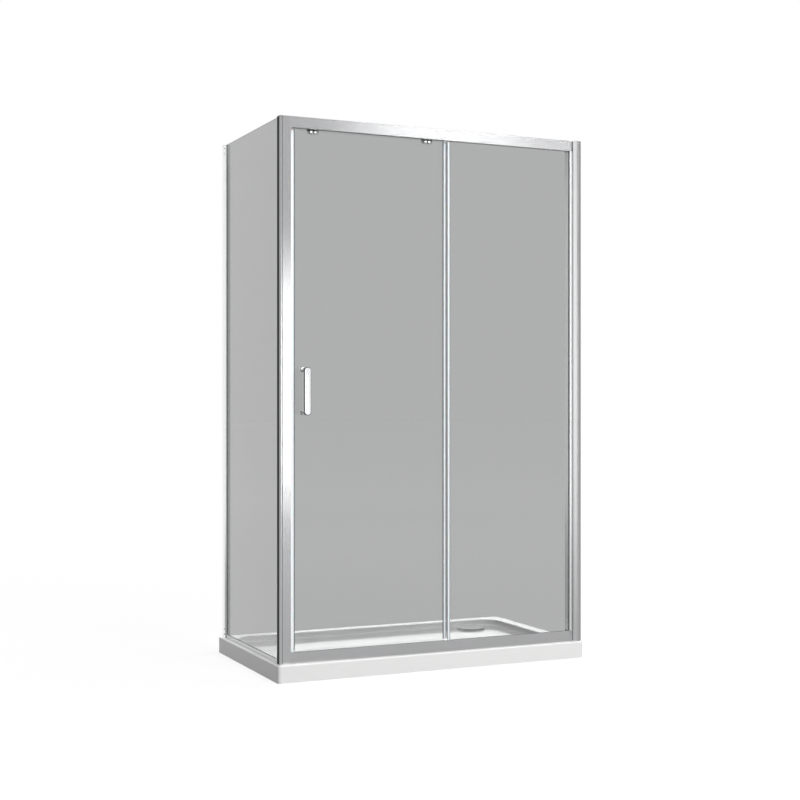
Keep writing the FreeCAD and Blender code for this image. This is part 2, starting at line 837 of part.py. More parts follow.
def jamb_profile_rear():
    body = block(rear_jamb_left, rear_jamb_right, rear_jamb_front, rear_jamb_back,
                 frame_base, profile_top)
    slot = block(side_slot_left, side_slot_right, rear_jamb_front, rear_slot_back,
                 frame_base, profile_top)
    chamber = block(rear_jamb_left + rear_jamb_wall, rear_jamb_right - rear_jamb_wall,
                    rear_slot_back + rear_jamb_wall, rear_jamb_back - rear_jamb_wall,
                    frame_base, profile_top)
    body = body.cut(slot).cut(chamber)
    for z in jamb_screw_heights(frame_base, profile_top):
        body = body.cut(rod_across(jamb_screw_radius + screw_clearance, rear_screw_depth, z,
                                   rear_jamb_left, rear_jamb_left + rear_jamb_wall))
    return body


def jamb_screws_rear():
    screws = []
    for z in jamb_screw_heights(frame_base, profile_top):
        head = rod_across(jamb_screw_head_radius, rear_screw_depth, z,
                          frame_left - jamb_screw_head_height, frame_left)
        shank = rod_across(jamb_screw_radius, rear_screw_depth, z,
                           frame_left, frame_left + jamb_screw_length)
        screws.append(head.fuse(shank))
    return group(screws)


def side_glass():
    return block(side_glass_left, side_glass_right, side_glass_front, side_glass_rear,
                 side_glass_base, frame_top)


def side_bottom_channel():
    front = side_slot_rear + fit_gap
    back = rear_jamb_front - fit_gap
    left = side_glass_left - side_channel_gap - side_channel_wall
    right = side_glass_right + side_channel_gap + side_channel_wall
    outer = block(left, right, front, back, frame_base, frame_base + side_channel_height)
    hollow = block(left + side_channel_wall, right - side_channel_wall, front, back,
                   side_channel_floor, frame_base + side_channel_height)
    return outer.cut(hollow)


def side_glass_gaskets():
    """Strips on both faces of the side glass, in the post and in the rear jamb."""
    strips = []
    for left, right in ((side_slot_left, side_glass_left), (side_glass_right, side_slot_right)):
        strips.append(block(left, right, side_glass_front, side_slot_rear, side_glass_base, profile_top))
        strips.append(block(left, right, rear_jamb_front, side_glass_rear, side_glass_base, profile_top))
    return group(strips)


# Levels and ends of the fixed pane
pane_base = frame_base + low_shelf_height + setting_block_height
pane_top = header_base + pane_in_slot
pane_glass_left = pane_left + pane_seal_web
pane_glass_right = jamb_right_left + right_glass_in_jamb


def fixed_glass():
    return block(pane_glass_left, pane_glass_right, pane_front, pane_back, pane_base, pane_top)


def fixed_glass_gaskets():
    """Strips on both faces of the pane, in the header, the bottom rail and the jamb."""
    strips = []
    left = pane_left + pane_seal_web + pane_seal_cover
    for front, back in ((slot_front, pane_front), (pane_back, slot_back)):
        strips.append(block(left, rails_right, front, back, header_base, pane_top))
        strips.append(block(left, rails_right, front, back, pane_base, rail_top - frame_wall))
        strips.append(block(jamb_right_left, pane_glass_right, front, back,
                            jamb_right_base, jamb_right_top))
    return group(strips)


def setting_blocks():
    """Packers that the fixed pane and the side glass stand on."""
    blocks = []
    pane_span = rails_right - pane_glass_left
    for share in (setting_block_share, 1 - setting_block_share):
        middle = pane_glass_left + pane_span * share
        blocks.append(block(middle - setting_block_length / 2, middle + setting_block_length / 2,
                            pane_front, pane_back, pane_base - setting_block_height, pane_base))
    side_span = side_glass_rear - side_glass_front
    for share in (setting_block_share, 1 - setting_block_share):
        middle = side_glass_front + side_span * share
        blocks.append(block(side_glass_left, side_glass_right, middle - setting_block_length / 2,
                            middle + setting_block_length / 2, side_channel_floor, side_glass_base))
    return group(blocks)


# The uprights' seals run between the bottom rail and the header
seal_base = rail_top + seal_end_gap
seal_top = header_base - seal_end_gap
magnet_right = post_right + magnet_thickness
door_middle_depth = (door_front + door_back) / 2


def post_magnet_strip():
    return block(post_right, magnet_right, door_middle_depth - magnet_width / 2,
                 door_middle_depth + magnet_width / 2, seal_base, seal_top)


def edge_seal(solid_end, glass_edge, legs_end, front, back, leg):
    """A U-shaped strip over an upright glass edge."""
    low, high = sorted((solid_end, legs_end))
    outer = block(low, high, front - leg, back + leg, seal_base, seal_top)
    inner_low, inner_high = sorted((glass_edge, legs_end))
    return outer.cut(block(inner_low, inner_high, front, back, seal_base, seal_top))


def door_lead_seal():
    return edge_seal(magnet_right + magnet_play, door_left, door_left + seal_cover,
                     door_front, door_back, seal_leg)


def door_trail_seal():
    seal_right = door_right + trail_seal_web
    body = edge_seal(seal_right, door_right, door_right - trail_seal_cover,
                     door_front, door_back, seal_leg)
    fin = block(door_right, seal_right, door_front - seal_leg - trail_fin_reach,
                door_front - seal_leg, seal_base, seal_top)
    return body.fuse(fin).removeSplitter()


def pane_lead_seal():
    legs_right = pane_glass_left + pane_seal_cover
    body = edge_seal(pane_left, pane_glass_left, legs_right, pane_front, pane_back, pane_seal_leg)
    fin = block(legs_right - pane_seal_web, legs_right, pane_back + pane_seal_leg,
                pane_back + pane_seal_leg + pane_fin_reach, seal_base, seal_top)
    return body.fuse(fin).removeSplitter()


def door_stop():
    """A bumper at the right end of the header, where the open door stops."""
    front = door_middle_depth - door_stop_width / 2
    return block(rails_right - door_stop_length, rails_right, front, front + door_stop_width,
                 door_top - door_stop_overlap, frame_top - frame_wall)


def top_bolt_places():
    return [(place + side * top_bolt_spread / 2, top_bolt_height)
            for place in hanger_places for side in (-1, 1)]


def low_bolt_places():
    return [(place, low_bolt_level) for place in hanger_places]


def top_axle_places():
    return [(place + side * top_wheel_spread / 2, top_axle_height)
            for place in hanger_places for side in (-1, 1)]


def low_axle_places():
    return [(place, low_axle_height) for place in hanger_places]


def handle_screw_places():
    x = door_left + handle_inset
    return [(x, handle_centre_height + side * handle_screw_spread / 2) for side in (-1, 1)]


def door_glass():
    body = block(door_left, door_right, door_front, door_back, door_bottom, door_top)
    for x, z in top_bolt_places() + low_bolt_places():
        body = body.cut(rod_back(bolt_radius + bush_wall, x, z, door_front, door_back))
    for x, z in handle_screw_places():
        body = body.cut(rod_back(handle_hole_radius, x, z, door_front, door_back))
    return body


def hanger(place, half_width, base, top, bolts, axles):
    body = block(place - half_width, place + half_width, door_back, hanger_back, base, top)
    corners = [edge for edge in body.Edges
               if edge.BoundBox.XLength + edge.BoundBox.ZLength < hanger_thickness]
    body = body.makeFillet(hanger_corner_radius, corners)
    for x, z in bolts:
        body = body.cut(rod_back(bolt_radius + screw_clearance, x, z, door_back, hanger_back))
    for x, z in axles:
        body = body.cut(rod_back(axle_radius + screw_clearance, x, z, door_back, hanger_back))
    return body


def roller_hangers():
    half_width = top_wheel_spread / 2 + hanger_margin
    base = top_bolt_height - hanger_margin
    top = top_axle_height + axle_shoulder_radius
    return group([hanger(place, half_width, base, top, top_bolt_places(), top_axle_places())
                  for place in hanger_places])


def low_hangers():
    top = low_bolt_level + low_hanger_rise
    return group([hanger(place, low_hanger_width / 2, door_bottom, top,
                         low_bolt_places(), low_axle_places()) for place in hanger_places])


def hanger_bolts(places):
    head_back = door_front - bush_flange_height
    bolts = []
    for x, z in places:
        head = rod_back(bolt_head_radius, x, z, head_back - bolt_head_height, head_back)
        bolts.append(head.fuse(rod_back(bolt_radius, x, z, head_back, hanger_back)))
    return group(bolts)


def glass_bushes():
    """Plastic bushes that keep the bolts off the glass."""
    bushes = []
    for x, z in top_bolt_places() + low_bolt_places():
        bush = rod_back(bolt_radius + bush_wall, x, z, door_front, door_back)
        bush = bush.fuse(rod_back(bush_flange_radius, x, z, door_front - bush_flange_height, door_front))
        bushes.append(bush.cut(rod_back(bolt_radius + screw_clearance, x, z,
                                        door_front - bush_flange_height, door_back)))
    return group(bushes)


def wheel_axles():
    shoulder_back = hanger_back + axle_shoulder_length
    head_front = wheel_back + axle_head_gap
    axles = []
    for x, z in top_axle_places() + low_axle_places():
        axle = rod_back(axle_radius, x, z, door_back, head_front)
        axle = axle.fuse(rod_back(axle_shoulder_radius, x, z, hanger_back, shoulder_back))
        axles.append(axle.fuse(rod_back(axle_head_radius, x, z, head_front,
                                        head_front + axle_head_length)))
    return group(axles)


def wheel(x, z, flange_radius, tread_radius):
    """A grooved wheel that straddles the track rib."""
    body = rod_back(flange_radius, x, z, wheel_front, wheel_back)
    groove_half = track_rib_width / 2 + wheel_groove_play
    rim = rod_back(flange_radius, x, z, track_middle - groove_half, track_middle + groove_half)
    rim = rim.cut(rod_back(tread_radius, x, z, wheel_front, wheel_back))
    dish = rod_back(tread_radius - wheel_dish_depth, x, z, wheel_back - wheel_dish_depth, wheel_back)
    dish = dish.cut(rod_back(wheel_hub_radius, x, z, wheel_front, wheel_back))
    body = body.cut(rim).cut(dish)
    return body.cut(rod_back(axle_radius + axle_clearance, x, z, wheel_front, wheel_back))


# The handle stands in front of the door glass
handle_front = door_front - handle_reach
handle_back = handle_front + handle_thickness
handle_post_back = door_front - handle_washer_thickness


def handle_bar():
    x = door_left + handle_inset
    half = handle_width / 2
    end_centre = handle_length / 2 - half
    body = block(x - half, x + half, handle_front, handle_back,
                 handle_centre_height - end_centre, handle_centre_height + end_centre)
    for side in (-1, 1):
        body = body.fuse(rod_back(half, x, handle_centre_height + side * end_centre,
                                  handle_front, handle_back))
    body = body.removeSplitter()
    rims = [edge for edge in body.Edges if edge.BoundBox.YLength < handle_edge_radius]
    return body.makeFillet(handle_edge_radius, rims)


def handle_posts():
    posts = []
    for x, z in handle_screw_places():
        post = rod_back(handle_post_radius, x, z, handle_back, handle_post_back)
        posts.append(post.cut(rod_back(handle_screw_radius + screw_clearance, x, z,
                                       handle_post_back - handle_screw_grip, handle_post_back)))
    return group(posts)


def handle_washers():
    washers = []
    for x, z in handle_screw_places():
        for front in (handle_post_back, door_back):
            back = front + handle_washer_thickness
            washer = rod_back(handle_washer_radius, x, z, front, back)
            washers.append(washer.cut(rod_back(handle_screw_radius + screw_clearance, x, z,
                                               front, back)))
    return group(washers)


def handle_screws():
    head_front = door_back + handle_washer_thickness
    head_back = head_front + handle_screw_head_height
    screws = []
    for x, z in handle_screw_places():
        head = rod_back(handle_screw_head_radius, x, z, head_front, head_back)
        outer = [edge for edge in head.Edges
                 if edge.BoundBox.YLength < handle_screw_head_edge and edge.BoundBox.YMin > head_front]
        head = head.makeFillet(handle_screw_head_edge, outer)
        shank = rod_back(handle_screw_radius, x, z, handle_post_back - handle_screw_grip, head_front)
        screws.append(head.fuse(shank))
    return group(screws)


def save_all():
    save("tray", tray())
    save("tray_base_board", tray_base_board())
    save("tray_foot_pads", tray_foot_pads())
    save("tray_foot_studs", tray_foot_studs())
    save("tray_foot_nuts", tray_foot_nuts())
    save("waste_top_seal", waste_top_seal())
    save("waste_flange", waste_flange())
    save("waste_gasket", waste_gasket())
    save("waste_body", waste_body())
    save("hair_strainer", hair_strainer())
    save("waste_cover", waste_cover())
    save("corner_post", corner_post())
    save("corner_post_side_strip", corner_post_side_strip())
    save("corner_post_cover", corner_post_cover())
    save("corner_post_cap", corner_post_cap())
    save("header_rail", header_rail())
    save("bottom_rail", bottom_rail())
    save("frame_connectors", frame_connectors())
    save("frame_screws", frame_screws())
    save("header_end_block", header_end_block())
    save("rail_end_block", rail_end_block())
    save("wall_profile_right", wall_profile_right())
    save("wall_profile_right_cap", wall_profile_right_cap())
    save("jamb_profile_right", jamb_profile_right())
    save("jamb_screws_right", jamb_screws_right())
    save("wall_profile_rear", wall_profile_rear())
    save("wall_profile_rear_cap", wall_profile_rear_cap())
    save("jamb_profile_rear", jamb_profile_rear())
    save("jamb_screws_rear", jamb_screws_rear())
    save("side_glass", side_glass())
    save("side_bottom_channel", side_bottom_channel())
    save("side_glass_gaskets", side_glass_gaskets())
    save("fixed_glass", fixed_glass())
    save("fixed_glass_gaskets", fixed_glass_gaskets())
    save("fixed_glass_lead_seal", pane_lead_seal())
    save("setting_blocks", setting_blocks())
    save("post_magnet_strip", post_magnet_strip())
    save("door_stop", door_stop())
    save("door_glass", door_glass())
    save("door_lead_seal", door_lead_seal())
    save("door_trail_seal", door_trail_seal())
    save("roller_hangers", roller_hangers())
    save("roller_bolts", hanger_bolts(top_bolt_places()))
    save("guide_hangers", low_hangers())
    save("guide_bolts", hanger_bolts(low_bolt_places()))
    save("glass_bushes", glass_bushes())
    save("wheel_axles", wheel_axles())
    for number, (x, z) in enumerate(top_axle_places(), 1):
        save("top_wheel_" + str(number), wheel(x, z, top_flange_radius, top_tread_radius))
    for number, (x, z) in enumerate(low_axle_places(), 1):
        save("guide_wheel_" + str(number), wheel(x, z, low_flange_radius, low_tread_radius))
    save("handle_bar", handle_bar())
    save("handle_posts", handle_posts())
    save("handle_washers", handle_washers())
    save("handle_screws", handle_screws())


save_all()
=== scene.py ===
import math

import bmesh
import bpy
from mathutils import Matrix, Vector


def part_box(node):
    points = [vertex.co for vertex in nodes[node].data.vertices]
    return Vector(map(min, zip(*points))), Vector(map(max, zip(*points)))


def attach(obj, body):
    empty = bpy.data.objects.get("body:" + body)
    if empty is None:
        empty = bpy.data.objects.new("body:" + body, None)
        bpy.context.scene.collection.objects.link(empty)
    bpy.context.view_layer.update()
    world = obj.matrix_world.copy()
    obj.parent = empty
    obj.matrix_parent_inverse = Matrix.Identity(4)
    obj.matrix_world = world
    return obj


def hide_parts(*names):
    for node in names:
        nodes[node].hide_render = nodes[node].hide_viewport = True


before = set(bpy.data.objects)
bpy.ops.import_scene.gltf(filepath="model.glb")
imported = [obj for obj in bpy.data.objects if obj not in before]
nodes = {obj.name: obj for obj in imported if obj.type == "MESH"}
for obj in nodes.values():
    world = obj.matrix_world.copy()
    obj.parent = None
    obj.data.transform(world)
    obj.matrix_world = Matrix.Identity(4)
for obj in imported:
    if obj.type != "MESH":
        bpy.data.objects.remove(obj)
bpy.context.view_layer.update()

# Shower enclosure. Metres, in the frame of the CAD model: the origin is on the floor under
# the middle of the tray, +X runs to the right along the front, +Y runs back, +Z is up.

MM = 0.001

# The photograph's camera
CAMERA_PLACE = (-2.2032, -5.0308, 0.9583)
CAMERA_TURN = -25.600
FOCAL_PIXELS = 1450.07
PICTURE_PIXELS = 800.0
PICTURE_MIDDLE = (448.22, 401.34)
SENSOR_WIDTH = 36.0

# Bodies of the CAD model
STILL = "frame_and_tray"
DOOR = "sliding_door"
COVER = "lift_out_cover"

# How lines run along a drawn or extruded bar: fine across it and long beside it
ALONG_X = (6.0, 700.0, 700.0)
ALONG_Y = (700.0, 6.0, 700.0)
ALONG_Z = (700.0, 700.0, 6.0)
ALL_ROUND = (1.0, 1.0, 1.0)


# Shader nodes

def set_inputs(node, values):
    for name, value in values.items():
        node.inputs[name].default_value = value


def place_node(tree, kind, inputs=None, **settings):
    """A shader node with values on its inputs and its own settings."""
    made = tree.nodes.new("ShaderNode" + kind)
    for name, value in settings.items():
        setattr(made, name, value)
    set_inputs(made, inputs or {})
    return made


def new_material(name):
    """A material, its node tree and its main shader."""
    material = bpy.data.materials.new(name)
    material.use_nodes = True
    tree = material.node_tree
    return material, tree, tree.nodes["Principled BSDF"]


def new_group(name, inputs, outputs):
    """An empty node group with its sockets, and its two end nodes."""
    group = bpy.data.node_groups.new(name, "ShaderNodeTree")
    for socket, kind in inputs:
        group.interface.new_socket(socket, in_out="INPUT", socket_type="NodeSocket" + kind)
    for socket, kind in outputs:
        group.interface.new_socket(socket, in_out="OUTPUT", socket_type="NodeSocket" + kind)
    return group, group.nodes.new("NodeGroupInput"), group.nodes.new("NodeGroupOutput")


def grain_group():
    """Fine texture of a surface, stretched along a bar or even all round."""
    group, start, end = new_group(
        "surface_grain",
        [("Stretch", "Vector"), ("Depth", "Float")],
        [("Mask", "Float"), ("Normal", "Vector")])
    place = place_node(group, "TexCoord")
    stretched = place_node(group, "VectorMath", operation="MULTIPLY")
    noise = place_node(group, "TexNoise", {"Scale": 1.0, "Detail": 3.0, "Roughness": 0.6})
    bump = place_node(group, "Bump", {"Distance": 0.0002})
    group.links.new(place.outputs["Object"], stretched.inputs[0])
    group.links.new(start.outputs["Stretch"], stretched.inputs[1])
    group.links.new(stretched.outputs[0], noise.inputs["Vector"])
    group.links.new(noise.outputs["Fac"], bump.inputs["Height"])
    group.links.new(start.outputs["Depth"], bump.inputs["Strength"])
    group.links.new(noise.outputs["Fac"], end.inputs["Mask"])
    group.links.new(bump.outputs["Normal"], end.inputs["Normal"])
    return group


def haze_group():
    """Broad soft variation, as polish and handling leave it."""
    group, start, end = new_group(
        "soft_haze", [("Scale", "Float"), ("Contrast", "Float")], [("Mask", "Float")])
    place = place_node(group, "TexCoord")
    noise = place_node(group, "TexNoise", {"Detail": 4.0, "Roughness": 0.55})
    centred = place_node(group, "Math", {1: 0.5}, operation="SUBTRACT")
    scaled = place_node(group, "Math", operation="MULTIPLY")
    back = place_node(group, "Math", {1: 0.5}, operation="ADD", use_clamp=True)
    group.links.new(place.outputs["Object"], noise.inputs["Vector"])
    group.links.new(start.outputs["Scale"], noise.inputs["Scale"])
    group.links.new(noise.outputs["Fac"], centred.inputs[0])
    group.links.new(centred.outputs[0], scaled.inputs[0])
    group.links.new(start.outputs["Contrast"], scaled.inputs[1])
    group.links.new(scaled.outputs[0], back.inputs[0])
    group.links.new(back.outputs[0], end.inputs["Mask"])
    return group


GRAIN = grain_group()
HAZE = haze_group()
HAZE_CONTRAST = 1.6

# How far light goes into the soft plastics, in metres
SOFT_DEPTH = 0.004


def mixed(tree, mask, low, high, kind="FLOAT"):
    """A value or colour that goes from low to high with a mask."""
    mix = place_node(tree, "Mix", data_type=kind)
    first, second, out = (2, 3, 0) if kind == "FLOAT" else (6, 7, 2)
    tree.links.new(mask, mix.inputs[0])
    mix.inputs[first].default_value = low
    mix.inputs[second].default_value = high
    return mix.outputs[out]


def shade(colour, factor):
    """A colour made lighter or darker, with its full alpha."""
    return tuple(min(1.0, part * factor) for part in colour) + (1.0,)


def finish(name, colour, roughness, stretch=ALL_ROUND, fineness=1.0, depth=0.1,
           metal=0.0, coat=0.0, coat_roughness=0.05, reflect=0.5, tone=0.04,
           gloss_change=0.06, haze_scale=3.0, soft=0.0, painted_shade_rim=1.0):
    """A surface whose colour and gloss vary a little, over a fine grain."""
    material, tree, shader = new_material(name)
    grain = place_node(tree, "Group", node_tree=GRAIN)
    set_inputs(grain, {"Stretch": tuple(part * fineness for part in stretch), "Depth": depth})
    haze = place_node(tree, "Group", node_tree=HAZE)
    set_inputs(haze, {"Scale": haze_scale, "Contrast": HAZE_CONTRAST})
    base = mixed(tree, haze.outputs["Mask"], shade(colour, 1.0 - tone), shade(colour, 1.0 + tone),
                 "RGBA")
    both = place_node(tree, "Math", operation="ADD", use_clamp=True)
    halved = place_node(tree, "Math", {1: 0.5}, operation="MULTIPLY")
    tree.links.new(grain.outputs["Mask"], both.inputs[0])
    tree.links.new(haze.outputs["Mask"], both.inputs[1])
    tree.links.new(both.outputs[0], halved.inputs[0])
    rough = mixed(tree, halved.outputs[0], max(0.0, roughness - gloss_change),
                  roughness + gloss_change)
    tree.links.new(base, shader.inputs["Base Color"])
    tree.links.new(rough, shader.inputs["Roughness"])
    tree.links.new(grain.outputs["Normal"], shader.inputs["Normal"])
    # A rim value below 1 darkens a metal's rim where it turns away: painted shade.
    set_inputs(shader, {"Metallic": metal, "Coat Weight": coat, "Coat Roughness": coat_roughness,
                        "Specular IOR Level": reflect,
                        "Specular Tint": (painted_shade_rim,) * 3 + (1.0,)})
    if soft:
        set_inputs(shader, {"Subsurface Weight": soft, "Subsurface Scale": SOFT_DEPTH})
    return material


def chipboard():
    """Pressed chips of wood in several browns under a thin coat of resin."""
    material, tree, shader = new_material("pressed_chips")
    place = place_node(tree, "TexCoord")
    warp = place_node(tree, "Mapping", {"Scale": (120.0, 260.0, 400.0)})
    chips = place_node(tree, "TexVoronoi", {"Scale": 1.0}, feature="F1")
    edges = place_node(tree, "TexVoronoi", {"Scale": 1.0}, feature="DISTANCE_TO_EDGE")
    browns = place_node(tree, "ValToRGB")
    browns.color_ramp.elements[0].color = (0.36, 0.24, 0.12, 1.0)
    browns.color_ramp.elements[1].color = (0.78, 0.62, 0.40, 1.0)
    apart = place_node(tree, "SeparateColor")
    bump = place_node(tree, "Bump", {"Strength": 0.35, "Distance": 0.0004})
    tree.links.new(place.outputs["Object"], warp.inputs["Vector"])
    tree.links.new(warp.outputs[0], chips.inputs["Vector"])
    tree.links.new(warp.outputs[0], edges.inputs["Vector"])
    tree.links.new(chips.outputs["Color"], apart.inputs[0])
    tree.links.new(apart.outputs[0], browns.inputs["Fac"])
    tree.links.new(browns.outputs["Color"], shader.inputs["Base Color"])
    tree.links.new(edges.outputs["Distance"], bump.inputs["Height"])
    tree.links.new(bump.outputs["Normal"], shader.inputs["Normal"])
    shader.inputs["Roughness"].default_value = 0.45
    return material


def pane(name, across, tint, edge_tint):
    """Clear glass with a greener look into its polished edges; lamps shine through it."""
    material, tree, shader = new_material(name)
    output = tree.nodes["Material Output"]
    surface = place_node(tree, "NewGeometry")
    facing = place_node(tree, "VectorMath", {1: across}, operation="DOT_PRODUCT")
    size = place_node(tree, "Math", operation="ABSOLUTE")
    edge = place_node(tree, "Math", {1: EDGE_FACE_SHARE}, operation="LESS_THAN")
    tree.links.new(surface.outputs["True Normal"], facing.inputs[0])
    tree.links.new(facing.outputs["Value"], size.inputs[0])
    tree.links.new(size.outputs[0], edge.inputs[0])
    base = mixed(tree, edge.outputs[0], tint + (1.0,), edge_tint + (1.0,), "RGBA")
    tree.links.new(base, shader.inputs["Base Color"])
    set_inputs(shader, {"Roughness": 0.0, "IOR": 1.5, "Transmission Weight": 1.0})
    ray = place_node(tree, "LightPath")
    through = place_node(tree, "BsdfTransparent", {"Color": GLASS_SHADE + (1.0,)})
    mix = place_node(tree, "MixShader")
    tree.links.new(ray.outputs["Is Shadow Ray"], mix.inputs["Fac"])
    tree.links.new(shader.outputs[0], mix.inputs[1])
    tree.links.new(through.outputs[0], mix.inputs[2])
    tree.links.new(mix.outputs[0], output.inputs["Surface"])
    return material


# Colours of the glass and of the silver profiles

# Painted shade: the front glass is tinted grey for the darker surroundings seen through it.
GLASS_PAINTED_SHADE_TINT = (0.4, 0.406, 0.403)
# Painted shade: the side pane's tint is darker still than the front panes'.
SIDE_GLASS_PAINTED_SHADE_TINT = (0.32, 0.325, 0.322)
GLASS_SHADE = (0.93, 0.94, 0.935)
GLASS_EDGE = (0.26, 0.33, 0.31)
# Painted shade: the silver is darker than polished aluminium is, for the dark surroundings that it
# mirrors.
SILVER_PAINTED_SHADE = (0.385, 0.387, 0.392)
# Painted shade: a darker copy of the silver for the bottom rail.
RAIL_SILVER_PAINTED_SHADE = (0.365, 0.367, 0.371)
# Painted shade: a darker copy of the silver for the round nose of the right wall profile.
NOSE_SILVER_PAINTED_SHADE = (0.33, 0.332, 0.336)
# Painted light: a lighter copy of the silver for the right jamb.
JAMB_SILVER_PAINTED_LIGHT = (0.6, 0.602, 0.606)
# Painted light: a much lighter copy of the silver for the rear wall profile.
REAR_SILVER_PAINTED_LIGHT = (0.88, 0.882, 0.886)

# A face of a pane is its edge when it looks less than this share across the pane
EDGE_FACE_SHARE = 0.7

# The materials: name, colour, roughness and how the grain runs, then what sets each apart

acrylic = finish("white_acrylic", (0.85, 0.85, 0.846), 0.13, fineness=60.0, depth=0.02,
                 coat=0.2, coat_roughness=0.04, reflect=0.45, tone=0.008, gloss_change=0.03)
silver_x = finish("polished_silver_along_x", SILVER_PAINTED_SHADE, 0.2, ALONG_X, depth=0.006, metal=1.0,
                  tone=0.02, gloss_change=0.03)
rail_silver_painted_shade = finish("polished_silver_rail_painted_shade", RAIL_SILVER_PAINTED_SHADE, 0.24, ALONG_X, depth=0.02,
                     metal=1.0, tone=0.02)
silver_y = finish("polished_silver_along_y", SILVER_PAINTED_SHADE, 0.2, ALONG_Y, depth=0.02, metal=1.0,
                  tone=0.02)
silver_z = finish("polished_silver_along_z", SILVER_PAINTED_SHADE, 0.2, ALONG_Z, depth=0.02, metal=1.0,
                  tone=0.02)
# Painted shade: the nose's darker silver, with its rim darkened where it turns away.
nose_silver_painted_shade = finish("satin_silver_wall_profile_painted_shade", NOSE_SILVER_PAINTED_SHADE, 0.3, ALONG_Z, depth=0.006,
                     metal=1.0, tone=0.01, gloss_change=0.02, painted_shade_rim=0.2)
jamb_silver_painted_light = finish("silver_jamb_painted_light", JAMB_SILVER_PAINTED_LIGHT, 0.2, ALONG_Z, depth=0.008, metal=1.0,
                     tone=0.02, gloss_change=0.03)
rear_silver_painted_light = finish("silver_rear_painted_light", REAR_SILVER_PAINTED_LIGHT, 0.15, ALONG_Z, depth=0.004, metal=1.0,
                     tone=0.01, gloss_change=0.02)
chrome = finish("bright_chrome", (0.87, 0.875, 0.885), 0.05, fineness=80.0, depth=0.01,
                metal=1.0, tone=0.01, gloss_change=0.03)
# Painted shade: a near-black copy of the chrome for the sides of the handle grip.
chrome_sides_painted_shade = finish("chrome_band_painted_shade", (0.06, 0.061, 0.064), 0.1, fineness=80.0, depth=0.01,
                     metal=1.0, tone=0.02, gloss_change=0.03, painted_shade_rim=0.0)
# Painted light: the hanger plates are made near white so they read lighter in the shade under the
# header.
plates_painted_light = finish("pale_plates_painted_light", (0.97, 0.97, 0.965), 0.5, fineness=300.0, depth=0.1,
                       tone=0.01)
# Painted shade: the screws' steel is made dark for the shade in their heads and recesses.
screw_steel_painted_shade = finish("screw_steel_dark_painted_shade", (0.16, 0.16, 0.16), 0.3, fineness=300.0, depth=0.1,
                     metal=1.0)
steel = finish("plain_stainless", (0.62, 0.62, 0.62), 0.28, ALONG_Z, depth=0.12, metal=1.0)
zinc = finish("zinc_plate", (0.62, 0.63, 0.62), 0.34, fineness=220.0, depth=0.15, metal=1.0,
              tone=0.08, haze_scale=160.0)
white_plastic = finish("gloss_white_plastic", (0.92, 0.92, 0.915), 0.2, fineness=300.0,
                       depth=0.04, tone=0.01)
nylon = finish("white_nylon", (0.88, 0.88, 0.85), 0.42, fineness=500.0, depth=0.12, tone=0.02,
               soft=0.15)
grey_plastic = finish("moulded_grey_plastic", (0.55, 0.56, 0.57), 0.45, fineness=900.0, depth=0.3)
silver_plastic = finish("moulded_silver_plastic", (0.44, 0.45, 0.46), 0.38, fineness=900.0,
                        depth=0.25)
dark_plastic = finish("moulded_dark_plastic", (0.33, 0.335, 0.34), 0.42, fineness=900.0, depth=0.3,
                      tone=0.1)
foot_plastic = finish("moulded_black_plastic", (0.035, 0.035, 0.037), 0.5, fineness=900.0,
                      depth=0.4, tone=0.15)
dark_rubber = finish("black_rubber", (0.03, 0.03, 0.031), 0.62, fineness=700.0, depth=0.4,
                     tone=0.2)
# Painted shade: a near-black strip that stands in for the shade on the corner post's left face.
side_strip = finish("post_side_strip_painted_shade", (0.045, 0.046, 0.048), 0.6, ALONG_Z, fineness=1.4,
                    depth=0.35, tone=0.12, reflect=0.08)
# Dark soft lips on the strips; their darkness is also painted shade along the glass edges and in
# the gap between door and pane.
lip_dark_painted_shade = finish("dark_soft_lip_painted_shade", (0.13, 0.14, 0.155), 0.5, ALONG_Z, fineness=1.4, depth=0.3,
                  tone=0.1)
strip_grey = finish("grey_glazing_strip", (0.42, 0.43, 0.44), 0.55, ALONG_Z, fineness=1.2,
                    depth=0.3, tone=0.08)
seal_white = finish("milky_seal", (0.93, 0.95, 0.975), 0.3, ALONG_Z, depth=0.1, tone=0.015,
                    soft=0.2)
boards = chipboard()
front_glass = pane("front_pane_glass", (0.0, 1.0, 0.0), GLASS_PAINTED_SHADE_TINT, GLASS_EDGE)
side_pane = pane("side_pane_glass", (1.0, 0.0, 0.0), SIDE_GLASS_PAINTED_SHADE_TINT, GLASS_EDGE)

